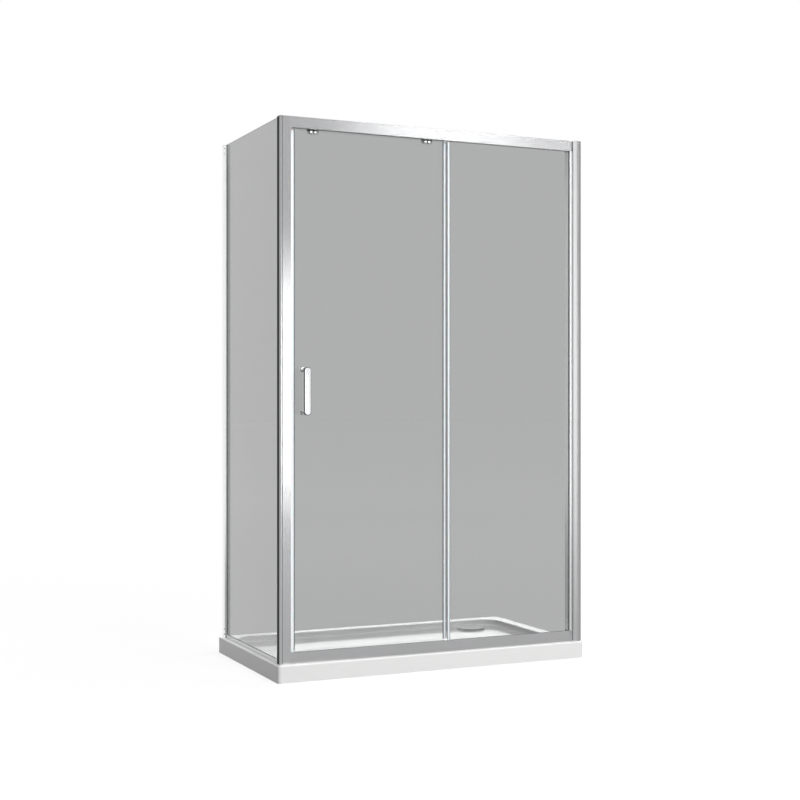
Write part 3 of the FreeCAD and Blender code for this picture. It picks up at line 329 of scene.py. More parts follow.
NODE_FINISHES = {
    "tray": acrylic, "tray_base_board": boards, "tray_foot_pads": foot_plastic,
    "tray_foot_studs": zinc, "tray_foot_nuts": zinc, "waste_top_seal": dark_rubber,
    "waste_flange": chrome, "waste_gasket": dark_rubber, "waste_body": grey_plastic,
    "hair_strainer": nylon, "waste_cover": white_plastic, "corner_post": silver_z,
    "corner_post_side_strip": side_strip, "corner_post_cover": silver_z,
    "corner_post_cap": silver_plastic, "header_rail": silver_x,
    "bottom_rail": rail_silver_painted_shade, "frame_connectors": zinc, "frame_screws": steel,
    "header_end_block": dark_plastic, "rail_end_block": dark_plastic,
    "wall_profile_right": nose_silver_painted_shade, "wall_profile_right_cap": silver_plastic,
    "jamb_profile_right": jamb_silver_painted_light, "jamb_screws_right": steel,
    "wall_profile_rear": rear_silver_painted_light, "wall_profile_rear_cap": silver_plastic,
    "jamb_profile_rear": silver_z, "jamb_screws_rear": steel, "side_glass": side_pane,
    "side_bottom_channel": silver_y, "side_glass_gaskets": strip_grey,
    "fixed_glass": front_glass, "fixed_glass_gaskets": strip_grey,
    "fixed_glass_lead_seal": seal_white, "setting_blocks": dark_rubber,
    "post_magnet_strip": seal_white, "door_stop": dark_rubber, "door_glass": front_glass,
    "door_lead_seal": seal_white, "door_trail_seal": seal_white, "roller_hangers": steel,
    "roller_bolts": chrome, "guide_hangers": steel, "guide_bolts": chrome,
    "glass_bushes": nylon, "wheel_axles": steel, "top_wheel_1": nylon, "top_wheel_2": nylon,
    "top_wheel_3": nylon, "top_wheel_4": nylon, "guide_wheel_1": nylon, "guide_wheel_2": nylon,
    "handle_bar": chrome, "handle_posts": chrome, "handle_washers": seal_white,
    "handle_screws": chrome,
}

for node_name, material in NODE_FINISHES.items():
    slots = nodes[node_name].data.materials
    if len(slots) == 0:
        slots.append(material)
    for number in range(len(slots)):
        slots[number] = material


# Shapes. They are drawn in millimetres and brought to metres when they become a piece.

TO_BACK = Matrix.Rotation(math.radians(-90.0), 4, "X")
TO_FRONT = Matrix.Rotation(math.radians(90.0), 4, "X")
TO_LEFT = Matrix.Rotation(math.radians(-90.0), 4, "Y")
UPWARD = Matrix.Identity(4)

# Points closer than this are one; measures closer than this are equal
SAME_POINT, EQUAL = 0.0005, 0.001


def at(x, y, z, turn=UPWARD):
    """The place of a part: turned first, then moved."""
    return Matrix.Translation((x, y, z)) @ turn


def put_together(parts):
    """One shape from pairs of a shape and the place it goes to."""
    whole = bmesh.new()
    for part, place in parts:
        mesh = bpy.data.meshes.new("carry")
        part.to_mesh(mesh)
        mesh.transform(place)
        whole.from_mesh(mesh)
        bpy.data.meshes.remove(mesh)
    return whole


def turned(outline, steps=48, ring=False):
    """A shape turned about its own Z from pairs of radius and height."""
    shape = bmesh.new()
    points = [shape.verts.new((radius, 0.0, height)) for radius, height in outline]
    pairs = list(zip(points, points[1:]))
    if ring:
        pairs.append((points[-1], points[0]))
    lines = [shape.edges.new(pair) for pair in pairs]
    bmesh.ops.spin(shape, geom=points + lines, cent=(0, 0, 0), axis=(0, 0, 1),
                   angle=2 * math.pi, steps=steps, use_merge=True)
    bmesh.ops.remove_doubles(shape, verts=shape.verts, dist=SAME_POINT)
    bmesh.ops.recalc_face_normals(shape, faces=shape.faces)
    return shape


def drawn_up(outline, low, high):
    """A strip of one section, from pairs of x and y, between two heights."""
    shape = bmesh.new()
    section = shape.faces.new([shape.verts.new((x, y, low)) for x, y in outline])
    grown = bmesh.ops.extrude_face_region(shape, geom=[section])
    moved = [item for item in grown["geom"] if isinstance(item, bmesh.types.BMVert)]
    bmesh.ops.translate(shape, verts=moved, vec=(0, 0, high - low))
    bmesh.ops.recalc_face_normals(shape, faces=shape.faces)
    return shape


def screw(outline, radius, low, reach):
    """A turned screw whose round socket is moved out or in to the shape of its driver."""
    shape = turned(outline)
    for vert in shape.verts:
        far = math.hypot(vert.co.x, vert.co.y)
        if abs(far - radius) < EQUAL and vert.co.z > low - EQUAL:
            factor = reach(math.atan2(vert.co.y, vert.co.x)) / far
            vert.co.x *= factor
            vert.co.y *= factor
    return shape


def hexagon(half_across):
    """How far a hexagonal socket reaches at each turn."""
    return lambda turn: half_across / math.cos(turn % (math.pi / 3) - math.pi / 6)


def cross(arm, half_width):
    """How far a cross recess reaches at each turn."""
    never_zero = 1e-6

    def reach(turn):
        along, beside = abs(math.cos(turn)) + never_zero, abs(math.sin(turn)) + never_zero
        return max(min(arm / along, half_width / beside), min(half_width / along, arm / beside))
    return reach


def piece(name, shape, material, slot, body, *stands_for, sharp=32.0):
    """A new visible piece that rides on a body and may stand for nodes of the CAD model."""
    bmesh.ops.scale(shape, verts=shape.verts, vec=(MM, MM, MM))
    mesh = bpy.data.meshes.new(name)
    shape.to_mesh(mesh)
    shape.free()
    mesh.materials.append(material)
    mesh.shade_smooth()
    mesh.set_sharp_from_angle(angle=math.radians(sharp))
    made = bpy.data.objects.new(name, mesh)
    bpy.context.scene.collection.objects.link(made)
    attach(made, body)
    if stands_for:
        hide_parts(*stands_for)
    return made


# The new pieces keep the sizes and places of the nodes that they stand for

def box_of(node):
    """The lowest and the highest corner of a node of the CAD model, in millimetres."""
    return [[round(value / MM, 3) for value in corner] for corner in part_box(node)]


def middle(low, high):
    return (low + high) / 2


def rounded_plate(low, high, corner, rim, rim_steps=3):
    """A plate that stands up and faces front, with round corners and softened rims."""
    width, thickness, height = (end - start for start, end in zip(low, high))
    place = [middle(start, end) for start, end in zip(low, high)]
    shape = bmesh.new()
    bmesh.ops.create_cube(shape, size=1.0)
    bmesh.ops.scale(shape, verts=shape.verts, vec=(width, thickness, height))
    corners = [edge for edge in shape.edges
               if abs(edge.verts[0].co.y - edge.verts[1].co.y) > thickness / 2]
    bmesh.ops.bevel(shape, geom=corners, offset=corner, offset_type="OFFSET", segments=16,
                    profile=0.5, affect="EDGES", material=-1)
    rims = [edge for edge in shape.edges
            if abs(edge.verts[0].co.y - edge.verts[1].co.y) < EQUAL]
    bmesh.ops.bevel(shape, geom=rims, offset=rim, offset_type="OFFSET", segments=rim_steps,
                    profile=0.5, affect="EDGES", material=-1)
    bmesh.ops.translate(shape, verts=shape.verts, vec=place)
    bmesh.ops.recalc_face_normals(shape, faces=shape.faces)
    return shape


# Handle: a rounded grip on two grooved stand-offs, held by screws from inside

(GRIP_LEFT, GRIP_FRONT, GRIP_BASE), (GRIP_RIGHT, GRIP_BACK, GRIP_TOP) = box_of("handle_bar")
(_, _, POSTS_BASE), (_, _, POSTS_TOP) = box_of("handle_posts")
_, (_, WASHER_BACK, _) = box_of("handle_washers")
HANDLE_X = middle(GRIP_LEFT, GRIP_RIGHT)
GRIP_CORNER, GRIP_RIM, GRIP_RIM_STEPS = 11.99, 3.0, 5
POST_RADIUS = 7.0
HANDLE_SCREW_HEIGHTS = (POSTS_BASE + POST_RADIUS, POSTS_TOP - POST_RADIUS)
POST_OUTLINE = [(3.05, 0.0), (6.2, 0.0), (6.2, 0.9), (6.6, 1.5), (7.0, 2.2), (7.0, 33.4),
                (6.7, 33.9), (6.7, 34.5), (7.0, 35.0), (7.0, 36.6), (6.6, 37.0), (3.05, 37.0)]
HANDLE_SOCKET_RADIUS, HANDLE_SOCKET_BASE, HANDLE_SOCKET_HALF = 2.9, 1.6, 2.5
HANDLE_SCREW = [(0.0, -23.0), (2.5, -23.0), (3.0, -22.5), (3.0, 0.0), (7.7, 0.0), (8.0, 0.3),
                (8.0, 1.8), (7.8, 2.7), (7.3, 3.5), (6.5, 4.15), (5.6, 4.6), (4.6, 4.88),
                (3.4, 5.0), (2.9, 4.7), (2.9, 1.6), (0.0, 1.6)]

# Faces of the grip that look less than this share to the front or back take the near-black chrome,
# painted shade on the grip's sides
FRONT_FACE_SHARE = 0.98

grip = piece("handle_grip",
             rounded_plate((GRIP_LEFT, GRIP_FRONT, GRIP_BASE), (GRIP_RIGHT, GRIP_BACK, GRIP_TOP),
                           GRIP_CORNER, GRIP_RIM, GRIP_RIM_STEPS),
             chrome, "bright_chrome", DOOR, "handle_bar", sharp=45.0)
grip.data.materials.append(chrome_sides_painted_shade)
for face in grip.data.polygons:
    if abs(face.normal.y) < FRONT_FACE_SHARE:
        face.material_index = 1
piece("handle_standoffs",
      put_together([(turned(POST_OUTLINE, ring=True), at(HANDLE_X, GRIP_BACK, z, TO_BACK))
                    for z in HANDLE_SCREW_HEIGHTS]),
      chrome, "bright_chrome", DOOR, "handle_posts")
handle_screw = screw(HANDLE_SCREW, HANDLE_SOCKET_RADIUS, HANDLE_SOCKET_BASE,
                     hexagon(HANDLE_SOCKET_HALF))
piece("handle_socket_screws",
      put_together([(handle_screw, at(HANDLE_X, WASHER_BACK, z, TO_BACK))
                    for z in HANDLE_SCREW_HEIGHTS]),
      chrome, "bright_chrome", DOOR, "handle_screws")


# Hangers of the wheels, and the bolts that hold them to the door glass

BOLT_SOCKET_RADIUS, BOLT_SOCKET_BASE, BOLT_SOCKET_HALF = 1.75, 1.5, 1.5
TOP_BOLT_OFFSET = 7.5
TOP_PLATE_WIDTH, LOW_PLATE_WIDTH = 44.0, 24.0
PLATE_THICKNESS, PLATE_CORNER, PLATE_RIM = 1.9, 8.5, 0.3
(_, BUSH_FRONT, _), _ = box_of("glass_bushes")
(PLATES_LEFT, _, _), (PLATES_RIGHT, PLATE_BACK, _) = box_of("roller_hangers")
HANGER_PLACES = (PLATES_LEFT + TOP_PLATE_WIDTH / 2, PLATES_RIGHT - TOP_PLATE_WIDTH / 2)
HANGER_BOLT = [(0.0, -8.8), (2.7, -8.8), (3.0, -8.5), (3.0, 0.0), (4.8, 0.0), (5.0, 0.2),
               (5.0, 1.1), (4.8, 1.8), (4.3, 2.5), (3.6, 3.0), (2.8, 3.35), (2.1, 3.5),
               (1.75, 3.35), (1.75, 1.5), (0.0, 1.5)]


def hanger_bolts(name, node_replaced, offsets):
    (_, _, low), (_, _, high) = box_of(node_replaced)
    bolt = screw(HANGER_BOLT, BOLT_SOCKET_RADIUS, BOLT_SOCKET_BASE, hexagon(BOLT_SOCKET_HALF))
    piece(name,
          put_together([(bolt, at(x + offset, BUSH_FRONT, middle(low, high), TO_FRONT))
                        for x in HANGER_PLACES for offset in offsets]),
          chrome, "bright_chrome", DOOR, node_replaced)


hanger_bolts("roller_socket_bolts", "roller_bolts", (-TOP_BOLT_OFFSET, TOP_BOLT_OFFSET))
hanger_bolts("guide_socket_bolts", "guide_bolts", (0.0,))


def hangers(name, node_replaced, width):
    (_, _, low), (_, _, high) = box_of(node_replaced)
    plates = [(rounded_plate((x - width / 2, PLATE_BACK - PLATE_THICKNESS, low),
                             (x + width / 2, PLATE_BACK, high), PLATE_CORNER, PLATE_RIM), UPWARD)
              for x in HANGER_PLACES]
    # The plates take the near-white finish: painted light.
    piece(name, put_together(plates), plates_painted_light, "stainless", DOOR, node_replaced)


hangers("roller_hanger_plates", "roller_hangers", TOP_PLATE_WIDTH)
hangers("guide_hanger_plates", "guide_hangers", LOW_PLATE_WIDTH)


# Screws through the wall profiles into the jambs, with a cross recess

CROSS_RADIUS, CROSS_BASE, CROSS_HALF_WIDTH = 1.5, 0.4, 0.38
JAMB_HEAD_RADIUS, JAMB_HEAD_HEIGHT, JAMB_SCREW_PITCH = 2.8, 1.5, 20.0
JAMB_SCREW = [(0.0, -6.0), (0.8, -6.0), (1.6, -5.0), (1.6, 0.0), (2.6, 0.0), (2.8, 0.2),
              (2.8, 0.6), (2.6, 1.0), (2.2, 1.3), (1.7, 1.5), (1.5, 1.4), (1.5, 0.4), (0.0, 0.4)]


def two_at_each_end(low, high):
    """The heights of the screws in a jamb, from the ends of their row."""
    first, last = low + JAMB_HEAD_RADIUS, high - JAMB_HEAD_RADIUS
    return first, first + JAMB_SCREW_PITCH, last - JAMB_SCREW_PITCH, last


# The jamb screws take the dark steel: painted shade.
jamb_screw = screw(JAMB_SCREW, CROSS_RADIUS, CROSS_BASE, cross(CROSS_RADIUS, CROSS_HALF_WIDTH))
(left, _, low), (right, back, high) = box_of("jamb_screws_right")
piece("right_jamb_cross_screws",
      put_together([(jamb_screw, at(middle(left, right), back - JAMB_HEAD_HEIGHT, z, TO_BACK))
                    for z in two_at_each_end(low, high)]),
      screw_steel_painted_shade, "stainless", STILL, "jamb_screws_right")
(left, front, low), (_, back, high) = box_of("jamb_screws_rear")
piece("rear_jamb_cross_screws",
      put_together([(jamb_screw, at(left + JAMB_HEAD_HEIGHT, middle(front, back), z, TO_LEFT))
                    for z in two_at_each_end(low, high)]),
      screw_steel_painted_shade, "stainless", STILL, "jamb_screws_rear")


# Wheels: a grooved nylon ring on a small steel bearing

TOP_FLANGE, TOP_TREAD = 10.0, 8.0
LOW_FLANGE, LOW_TREAD = 8.0, 6.0
BEARING = [(2.55, -2.75), (3.3, -2.75), (3.45, -2.5), (4.3, -2.5), (4.45, -2.75), (5.0, -2.75),
           (5.0, 2.75), (4.45, 2.75), (4.3, 2.5), (3.45, 2.5), (3.3, 2.75), (2.55, 2.75)]


def wheel_ring(flange, tread):
    """Two flanges beside a groove, with one side dished where the tread leaves room for it."""
    half, groove, hub = 2.75, 1.65, 5.0
    outline = [(hub, -half), (flange - 0.7, -half), (flange - 0.2, -half + 0.2),
               (flange, -half + 0.5), (flange - 0.1, -groove - 0.15), (flange - 0.4, -groove),
               (tread + 0.3, -groove + 0.05), (tread, -groove + 0.3),
               (tread, groove - 0.3), (tread + 0.3, groove - 0.05),
               (flange - 0.4, groove), (flange - 0.1, groove + 0.15),
               (flange, half - 0.5), (flange - 0.2, half - 0.2), (flange - 0.7, half)]
    dish = tread - 1.0
    if dish > hub + 0.5:
        outline += [(dish + 0.2, half), (dish, half - 0.2), (dish, half - 1.0), (hub, half - 1.0)]
    else:
        outline += [(hub, half)]
    return turned(outline, steps=64, ring=True)


def wheel(body, flange, tread):
    """A wheel has a body of its own, with the same name as its node."""
    (left, front, _), (right, back, top) = box_of(body)
    place = at(middle(left, right), middle(front, back), top - flange, TO_BACK)
    piece("nylon_tyre_" + body, put_together([(wheel_ring(flange, tread), place)]),
          nylon, "white_nylon", body, body)
    piece("bearing_" + body, put_together([(turned(BEARING, ring=True), place)]),
          steel, "stainless", body)


for number in range(1, 5):
    wheel("top_wheel_" + str(number), TOP_FLANGE, TOP_TREAD)
for number in range(1, 3):
    wheel("guide_wheel_" + str(number), LOW_FLANGE, LOW_TREAD)


# Strips on the upright glass edges

(DOOR_LEFT, DOOR_GLASS_FRONT, _), (DOOR_RIGHT, DOOR_GLASS_BACK, _) = box_of("door_glass")
(_, PANE_FRONT, _), (_, PANE_BACK, _) = box_of("fixed_glass")
(MAGNET_END, _, _), (MAGNET_LIP_TIP, _, _) = box_of("door_lead_seal")
(WIPER_LIP_TIP, _, _), (WIPER_END, _, _) = box_of("door_trail_seal")
(PANE_LEFT, _, SEAL_BASE), (PANE_LIP_TIP, _, SEAL_TOP) = box_of("fixed_glass_lead_seal")
MAGNET_TIP, WIPER_TIP, PANE_TIP = MAGNET_LIP_TIP - 3.6, WIPER_LIP_TIP + 2.4, PANE_LIP_TIP - 2.0
DOOR_STRIP_LEG, PANE_STRIP_LEG = 2.4, 1.5

# Pieces that lie on glass stand this far off it
HAIR = 0.06


def clip_outline(closed_end, edge, tip, front, back, leg):
    """A U-shaped strip whose legs thin out and grip the glass with their tips."""
    out = 1.0 if tip > edge else -1.0
    low, high = front - leg, back + leg
    front, back, edge = front - HAIR, back + HAIR, edge - out * HAIR
    return [(closed_end, low + 1.2), (closed_end + out * 0.5, low + 0.4),
            (closed_end + out * 1.2, low), (edge + out * 2.0, low),
            (tip - out * 1.0, front - 1.0), (tip, front - 0.5), (tip - out * 0.3, front),
            (edge, front), (edge, back), (tip - out * 0.3, back), (tip, back + 0.5),
            (tip - out * 1.0, back + 1.0), (edge + out * 2.0, high),
            (closed_end + out * 1.2, high), (closed_end + out * 0.5, high - 0.4),
            (closed_end, high - 1.2)]


def fin_outline(root, tip, low, high):
    """A thin curved lip that stands on a strip's face."""
    bend = (tip - root) / 3
    return [(low + 0.4, root), (low + 0.5, root + bend), (low + 0.9, root + 2 * bend),
            (high - 0.2, tip), (high, tip - bend / 3), (high - 0.3, root + 2 * bend),
            (high - 0.7, root + bend), (high - 0.6, root)]


def strip(name, material, slot, body, node_replaced, *outlines):
    """A piece that runs up a glass edge; with no node replaced it comes beside the CAD model."""
    shapes = [(drawn_up(outline, SEAL_BASE, SEAL_TOP), UPWARD) for outline in outlines]
    replaced = [node_replaced] if node_replaced else []
    piece(name, put_together(shapes), material, slot, body, *replaced, sharp=50.0)


def lip_outline(root, tip, face, out):
    """The dark soft lip at the end of a leg, on a glass face; its darkness is also painted shade
    along the glass edge.
    """
    face += out * HAIR
    return [(root, face), (root, face + out * 0.9), (tip - 0.3 * (tip - root), face + out * 0.6),
            (tip, face + out * 0.1), (tip, face)]


strip("magnetic_edge_strip", seal_white, "clear_seal", DOOR, "door_lead_seal",
      clip_outline(MAGNET_END, DOOR_LEFT, MAGNET_TIP, DOOR_GLASS_FRONT, DOOR_GLASS_BACK,
                   DOOR_STRIP_LEG))
strip("magnetic_strip_lips", lip_dark_painted_shade, "dark_strip", DOOR, None,
      lip_outline(MAGNET_TIP, MAGNET_LIP_TIP, DOOR_GLASS_FRONT, -1.0),
      lip_outline(MAGNET_TIP, MAGNET_LIP_TIP, DOOR_GLASS_BACK, 1.0))
strip("door_wiper_strip", seal_white, "clear_seal", DOOR, "door_trail_seal",
      clip_outline(WIPER_END, DOOR_RIGHT, WIPER_TIP, DOOR_GLASS_FRONT, DOOR_GLASS_BACK,
                   DOOR_STRIP_LEG))
strip("door_wiper_lips", lip_dark_painted_shade, "dark_strip", DOOR, None,
      lip_outline(WIPER_TIP, WIPER_LIP_TIP, DOOR_GLASS_FRONT, -1.0),
      lip_outline(WIPER_TIP, WIPER_LIP_TIP, DOOR_GLASS_BACK, 1.0),
      fin_outline(DOOR_GLASS_FRONT - 2.3, DOOR_GLASS_FRONT - 4.4, DOOR_RIGHT, WIPER_END))
strip("pane_wiper_strip", seal_white, "clear_seal", STILL, "fixed_glass_lead_seal",
      clip_outline(PANE_LEFT + 0.4, PANE_LEFT + 2.0, PANE_TIP, PANE_FRONT, PANE_BACK,
                   PANE_STRIP_LEG),
      fin_outline(PANE_BACK + 0.6, PANE_BACK + 3.4, PANE_LEFT + 5.8, PANE_LEFT + 7.8))

# The fixed pane's lips, with a soft bulb at its free edge that the door slides past; the dark bulb
# is also painted shade for the gap between door and pane
strip("pane_wiper_lips", lip_dark_painted_shade, "dark_strip", STILL, None,
      [(PANE_LEFT, PANE_BACK - 2.6), (PANE_LEFT + 0.4, PANE_BACK - 3.0),
       (PANE_LEFT + 0.4, PANE_BACK + 0.3), (PANE_LEFT + 0.9, PANE_BACK + 1.1),
       (PANE_LEFT + 1.6, PANE_BACK + 1.5), (PANE_LEFT + 2.4, PANE_BACK + 1.5),
       (PANE_LEFT + 2.2, PANE_BACK + 2.8), (PANE_LEFT + 1.2, PANE_BACK + 3.4),
       (PANE_LEFT - 0.1, PANE_BACK + 3.4), (PANE_LEFT - 0.6, PANE_BACK + 2.9),
       (PANE_LEFT - 0.6, PANE_BACK + 1.8), (PANE_LEFT, PANE_BACK + 0.8)],
      lip_outline(PANE_TIP, PANE_LIP_TIP, PANE_FRONT, -1.0),
      lip_outline(PANE_TIP, PANE_LIP_TIP, PANE_BACK, 1.0))

# The post's own magnet strip, which the door's edge strip meets
(left, front, _), (right, back, _) = box_of("post_magnet_strip")
strip("post_magnet_profile", seal_white, "clear_seal", STILL, "post_magnet_strip",
      [(left, front), (right - 0.9, front), (right - 0.2, front + 0.3), (right, front + 1.0),
       (right, back - 1.0), (right - 0.2, back - 0.3), (right - 0.9, back), (left, back)])


# Waste cover: a crowned disc with a rounded rim, on three legs

COVER_RADIUS, CROWN_RADIUS, CROWN_HEIGHT = 55.0, 48.0, 1.15
(_, COVER_FRONT, _), (COVER_RIGHT, COVER_BACK, COVER_TOP) = box_of("waste_cover")
WASTE_X, WASTE_Y = COVER_RIGHT - COVER_RADIUS, middle(COVER_FRONT, COVER_BACK)
CROWN = [(radius, COVER_TOP - CROWN_HEIGHT * (radius / CROWN_RADIUS) ** 2)
         for radius in (CROWN_RADIUS, 40.0, 30.0, 20.0, 10.0, 0.0)]
COVER_OUTLINE = [(0.0, 43.4), (50.0, 43.4), (51.0, 43.0), (54.2, 43.0), (54.8, 43.25),
                 (55.0, 43.8), (55.0, 44.8), (54.75, 45.25), (54.0, 45.55)] + CROWN
COVER_LEG_RING, COVER_LEG_COUNT = 38.7, 3
COVER_LEG = [(0.0, 39.5), (1.8, 39.5), (2.2, 39.9), (2.2, 44.0), (0.0, 44.0)]


def waste_lid():
    shapes = [(turned(COVER_OUTLINE, steps=96), at(WASTE_X, WASTE_Y, 0.0))]
    for number in range(COVER_LEG_COUNT):
        turn = 2 * math.pi * number / COVER_LEG_COUNT
        shapes.append((turned(COVER_LEG, steps=24),
                       at(WASTE_X + COVER_LEG_RING * math.cos(turn),
                          WASTE_Y + COVER_LEG_RING * math.sin(turn), 0.0)))
    return put_together(shapes)


piece("waste_lid", waste_lid(), white_plastic, "white_abs", COVER, "waste_cover")


# Levelling feet: moulded pads and threaded studs

FOOT_REACH_X, FOOT_REACH_Y, FOOT_MIDDLE_Y = 550.0, 283.0, 17.0
FOOT_SHARES = [(-0.85, -0.7), (-0.85, 0.7), (-0.1, -0.7), (-0.1, 0.7), (0.5, -0.7), (0.5, 0.7),
               (0.88, 0.0)]
FOOT_PLACES = [(share_x * FOOT_REACH_X, FOOT_MIDDLE_Y + share_y * FOOT_REACH_Y)
               for share_x, share_y in FOOT_SHARES]
PAD_OUTLINE = [(0.0, 1.0), (18.6, 1.0), (19.2, 0.0), (21.5, 0.0), (22.0, 0.5), (22.0, 3.4),
               (21.3, 4.2), (13.0, 5.0), (10.2, 5.4), (9.2, 6.2), (9.0, 7.0), (9.0, 8.6),
               (8.6, 9.0), (4.05, 9.0), (4.05, 3.0), (0.0, 3.0)]
STUD_PITCH = 1.25
(_, _, STUD_BASE), (_, _, STUD_TOP) = box_of("tray_foot_studs")


def stud_outline(base, top, pitch):
    """Half the section of a rod with a thread of this pitch."""
    outline = [(0.0, base), (3.4, base)]
    turns = int((top - base) / pitch)
    for number in range(turns):
        level = base + pitch * number
        outline += [(3.42, level + 0.15 * pitch), (3.98, level + 0.5 * pitch),
                    (3.98, level + 0.62 * pitch)]
    return outline + [(3.4, top), (0.0, top)]


piece("foot_pads_moulded",
      put_together([(turned(PAD_OUTLINE), at(x, y, 0.0)) for x, y in FOOT_PLACES]),
      foot_plastic, "foot_plastic", STILL, "tray_foot_pads")
piece("foot_studs_threaded",
      put_together([(turned(stud_outline(STUD_BASE, STUD_TOP, STUD_PITCH), steps=24),
                     at(x, y, 0.0)) for x, y in FOOT_PLACES]),
      zinc, "zinc_steel", STILL, "tray_foot_studs", sharp=60.0)


# Small rounding of the edges of the nodes that stay as the CAD model has them

WELD_REACH = 0.00001
ROUNDED_ABOVE_DEGREES = 40.0


def soften(name, width, segments=2):
    weld = nodes[name].modifiers.new("join_edges", "WELD")
    weld.merge_threshold = WELD_REACH
    bevel = nodes[name].modifiers.new("round_edges", "BEVEL")
    bevel.width = width * MM
    bevel.segments = segments
    bevel.limit_method = "ANGLE"
    bevel.angle_limit = math.radians(ROUNDED_ABOVE_DEGREES)


for name in ("header_rail", "bottom_rail", "corner_post", "corner_post_cover",
             "wall_profile_rear", "jamb_profile_rear", "jamb_profile_right",
             "side_bottom_channel"):
    soften(name, 0.35)
soften("wall_profile_right_cap", 1.0, segments=3)
for name in ("corner_post_cap", "wall_profile_rear_cap", "header_end_block", "rail_end_block",
             "wheel_axles"):
    soften(name, 0.3)
for name in ("side_glass", "fixed_glass"):
    soften(name, 0.7, segments=1)


# The camera

camera_data = bpy.data.cameras.new("camera")
camera_data.sensor_width = SENSOR_WIDTH
camera_data.lens = SENSOR_WIDTH * FOCAL_PIXELS / PICTURE_PIXELS
camera_data.shift_x = (PICTURE_PIXELS / 2 - PICTURE_MIDDLE[0]) / PICTURE_PIXELS
camera_data.shift_y = (PICTURE_MIDDLE[1] - PICTURE_PIXELS / 2) / PICTURE_PIXELS
camera = bpy.data.objects.new("camera", camera_data)
camera.location = CAMERA_PLACE
camera.rotation_euler = (math.radians(90.0), 0.0, math.radians(CAMERA_TURN))
bpy.context.scene.collection.objects.link(camera)
bpy.context.scene.camera = camera
bpy.context.scene.view_settings.view_transform = "Standard"


# Floor, surroundings and lamps

def seen_directly(tree):
    """1 for rays from the camera, from shiny surfaces and through glass, else 0."""
    ray = place_node(tree, "LightPath")
    first = place_node(tree, "Math", operation="MAXIMUM")
    second = place_node(tree, "Math", operation="MAXIMUM")
    tree.links.new(ray.outputs["Is Camera Ray"], first.inputs[0])
    tree.links.new(ray.outputs["Is Glossy Ray"], first.inputs[1])
    tree.links.new(first.outputs[0], second.inputs[0])
    tree.links.new(ray.outputs["Is Transmission Ray"], second.inputs[1])
    return second.outputs[0]


def surroundings(strength):
    world = bpy.data.worlds.new("white_studio")
    world.use_nodes = True
    tree = world.node_tree
    back = tree.nodes["Background"]
    back.inputs["Color"].default_value = (1.0, 1.0, 1.0, 1.0)
    level = mixed(tree, seen_directly(tree), strength, 1.0)
    tree.links.new(level, back.inputs["Strength"])
    bpy.context.scene.world = world


FLOOR_GAP = 0.0004


def studio_floor(reach, paint_level, near_glow, far_glow):
    """A pale floor that takes a soft shadow and reads white in the picture and in reflections."""
    shape = bmesh.new()
    bmesh.ops.create_grid(shape, x_segments=4, y_segments=4, size=reach)
    bmesh.ops.translate(shape, verts=shape.verts, vec=(0.0, 0.0, -FLOOR_GAP))
    mesh = bpy.data.meshes.new("studio_floor")
    shape.to_mesh(mesh)
    shape.free()
    floor = bpy.data.objects.new("studio_floor", mesh)
    bpy.context.scene.collection.objects.link(floor)
    material, tree, _ = new_material("pale_floor")
    tree.nodes.clear()
    output = place_node(tree, "OutputMaterial")
    paint = place_node(tree, "BsdfDiffuse", {"Color": (paint_level,) * 3 + (1.0,)})
    glow = place_node(tree, "Emission")
    total = place_node(tree, "AddShader")
    place = place_node(tree, "TexCoord")
    far = place_node(tree, "VectorMath", operation="LENGTH")
    spread = place_node(tree, "MapRange", {"From Min": 1.2, "From Max": 9.0,
                                           "To Min": near_glow, "To Max": far_glow})
    level = place_node(tree, "Math", operation="MULTIPLY")
    tree.links.new(place.outputs["Object"], far.inputs[0])
    tree.links.new(far.outputs["Value"], spread.inputs["Value"])
    tree.links.new(spread.outputs[0], level.inputs[0])
    tree.links.new(seen_directly(tree), level.inputs[1])
    tree.links.new(level.outputs[0], glow.inputs["Strength"])
    tree.links.new(paint.outputs[0], total.inputs[0])
    tree.links.new(glow.outputs[0], total.inputs[1])
    tree.links.new(total.outputs[0], output.inputs["Surface"])
    mesh.materials.append(material)


def soft_lamp(name, place, target, width, height, watts, in_reflections=True):
    data = bpy.data.lights.new(name, "AREA")
    data.shape = "RECTANGLE"
    data.size = width
    data.size_y = height
    data.energy = watts
    lamp = bpy.data.objects.new(name, data)
    lamp.location = place
    lamp.rotation_euler = (Vector(target) - Vector(place)).to_track_quat("-Z", "Y").to_euler()
    lamp.visible_glossy = in_reflections
    lamp.visible_transmission = False
    lamp.visible_camera = False
    bpy.context.scene.collection.objects.link(lamp)
    return lamp


def highlight(name, place, target, width, height, radiance, mirrored_by):
    """A panel of a given brightness that lights nothing and that only some pieces mirror."""
    lamp = soft_lamp(name, place, target, width, height, math.pi * width * height * radiance)
    lamp.visible_diffuse = False
    lamp.light_linking.receiver_collection = mirrored_by


def lit_group(name, things):
    """The pieces that a lamp or a panel is meant for."""
    group = bpy.data.collections.new(name)
    for thing in things:
        group.objects.link(thing)
    return group


def is_glass(thing):
    return any(slot.material in (front_glass, side_pane) for slot in thing.material_slots)


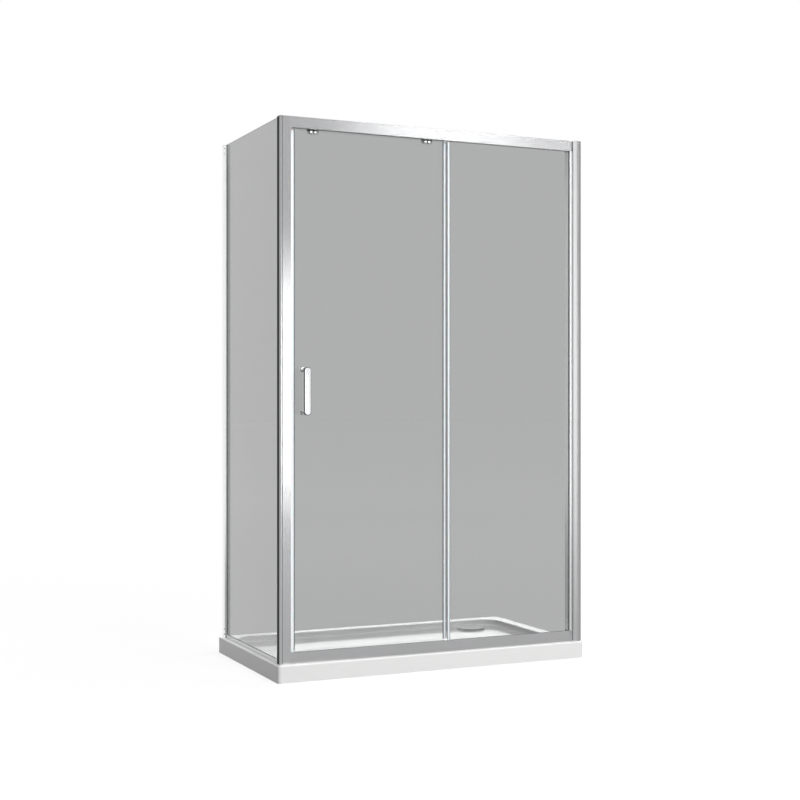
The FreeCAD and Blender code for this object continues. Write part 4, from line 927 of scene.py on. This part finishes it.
whole_object = [thing for thing in bpy.context.scene.objects if thing.type == "MESH"]
not_glass = [thing for thing in whole_object if not is_glass(thing)]
post_pieces = (nodes["corner_post"], nodes["corner_post_cover"])
whole_enclosure = lit_group("whole_enclosure", whole_object)
all_but_glass = lit_group("all_but_glass", not_glass)
all_but_glass_and_post = lit_group(
    "all_but_glass_and_post", [thing for thing in not_glass if thing not in post_pieces])
tray_and_jamb = lit_group("tray_and_jamb", [nodes["tray"], nodes["jamb_profile_right"]])

surroundings(strength=0.22)
studio_floor(reach=60.0, paint_level=0.13, near_glow=0.875, far_glow=0.978)
soft_lamp("key_lamp", (0.6, -5.8, 2.8), (0.0, 0.0, 0.8), 2.5, 2.5, 306.0, in_reflections=False)
soft_lamp("top_lamp", (2.2, -0.2, 10.0), (0.2, 0.0, 0.0), 5.0, 5.0, 600.0, in_reflections=False)
back_lamp = soft_lamp("back_lamp", (1.6, 6.0, 3.0), (0.0, 0.0, 0.8), 2.5, 2.5, 150.0,
                      in_reflections=False)
back_lamp.light_linking.receiver_collection = whole_enclosure

# Panels that the front mirrors: name, middle, width, height and brightness
FRONT_PANEL_Y = -4.4
for name, x, z, width, height, radiance in (
        ("post_highlight", 0.865, 1.06, 0.13, 1.45, 13.0),
        ("header_highlight", 2.0, 2.765, 1.23, 0.06, 20.0),
        ("header_end_highlight", 2.9, 2.765, 0.6, 0.06, 0.5),
        ("jamb_highlight", 3.02, 1.5, 0.1, 2.9, 6.2)):
    highlight(name, (x, FRONT_PANEL_Y, z), (x, FRONT_PANEL_Y + 1.0, z), width, height, radiance,
              all_but_glass)

# Panels for the round nose of the wall profile, the glossy tray and the jamb's inner face
highlight("nose_side_highlight", (-3.9, -0.7, 1.7), (0.58, -0.33, 1.7), 4.5, 3.2, 2.25,
          all_but_glass_and_post)
highlight("nose_front_highlight", (-1.22, -3.33, 1.5), (0.58, -0.33, 1.5), 2.5, 2.9, 1.85,
          all_but_glass_and_post)
highlight("tray_highlight", (2.25, 5.0, 0.95), (2.25, 4.0, 0.95), 4.4, 0.9, 3.0, tray_and_jamb)
highlight("inner_jamb_highlight", (-2.6, 4.9, 1.0), (0.56, -0.28, 1.0), 3.0, 3.6, 0.75,
          tray_and_jamb)
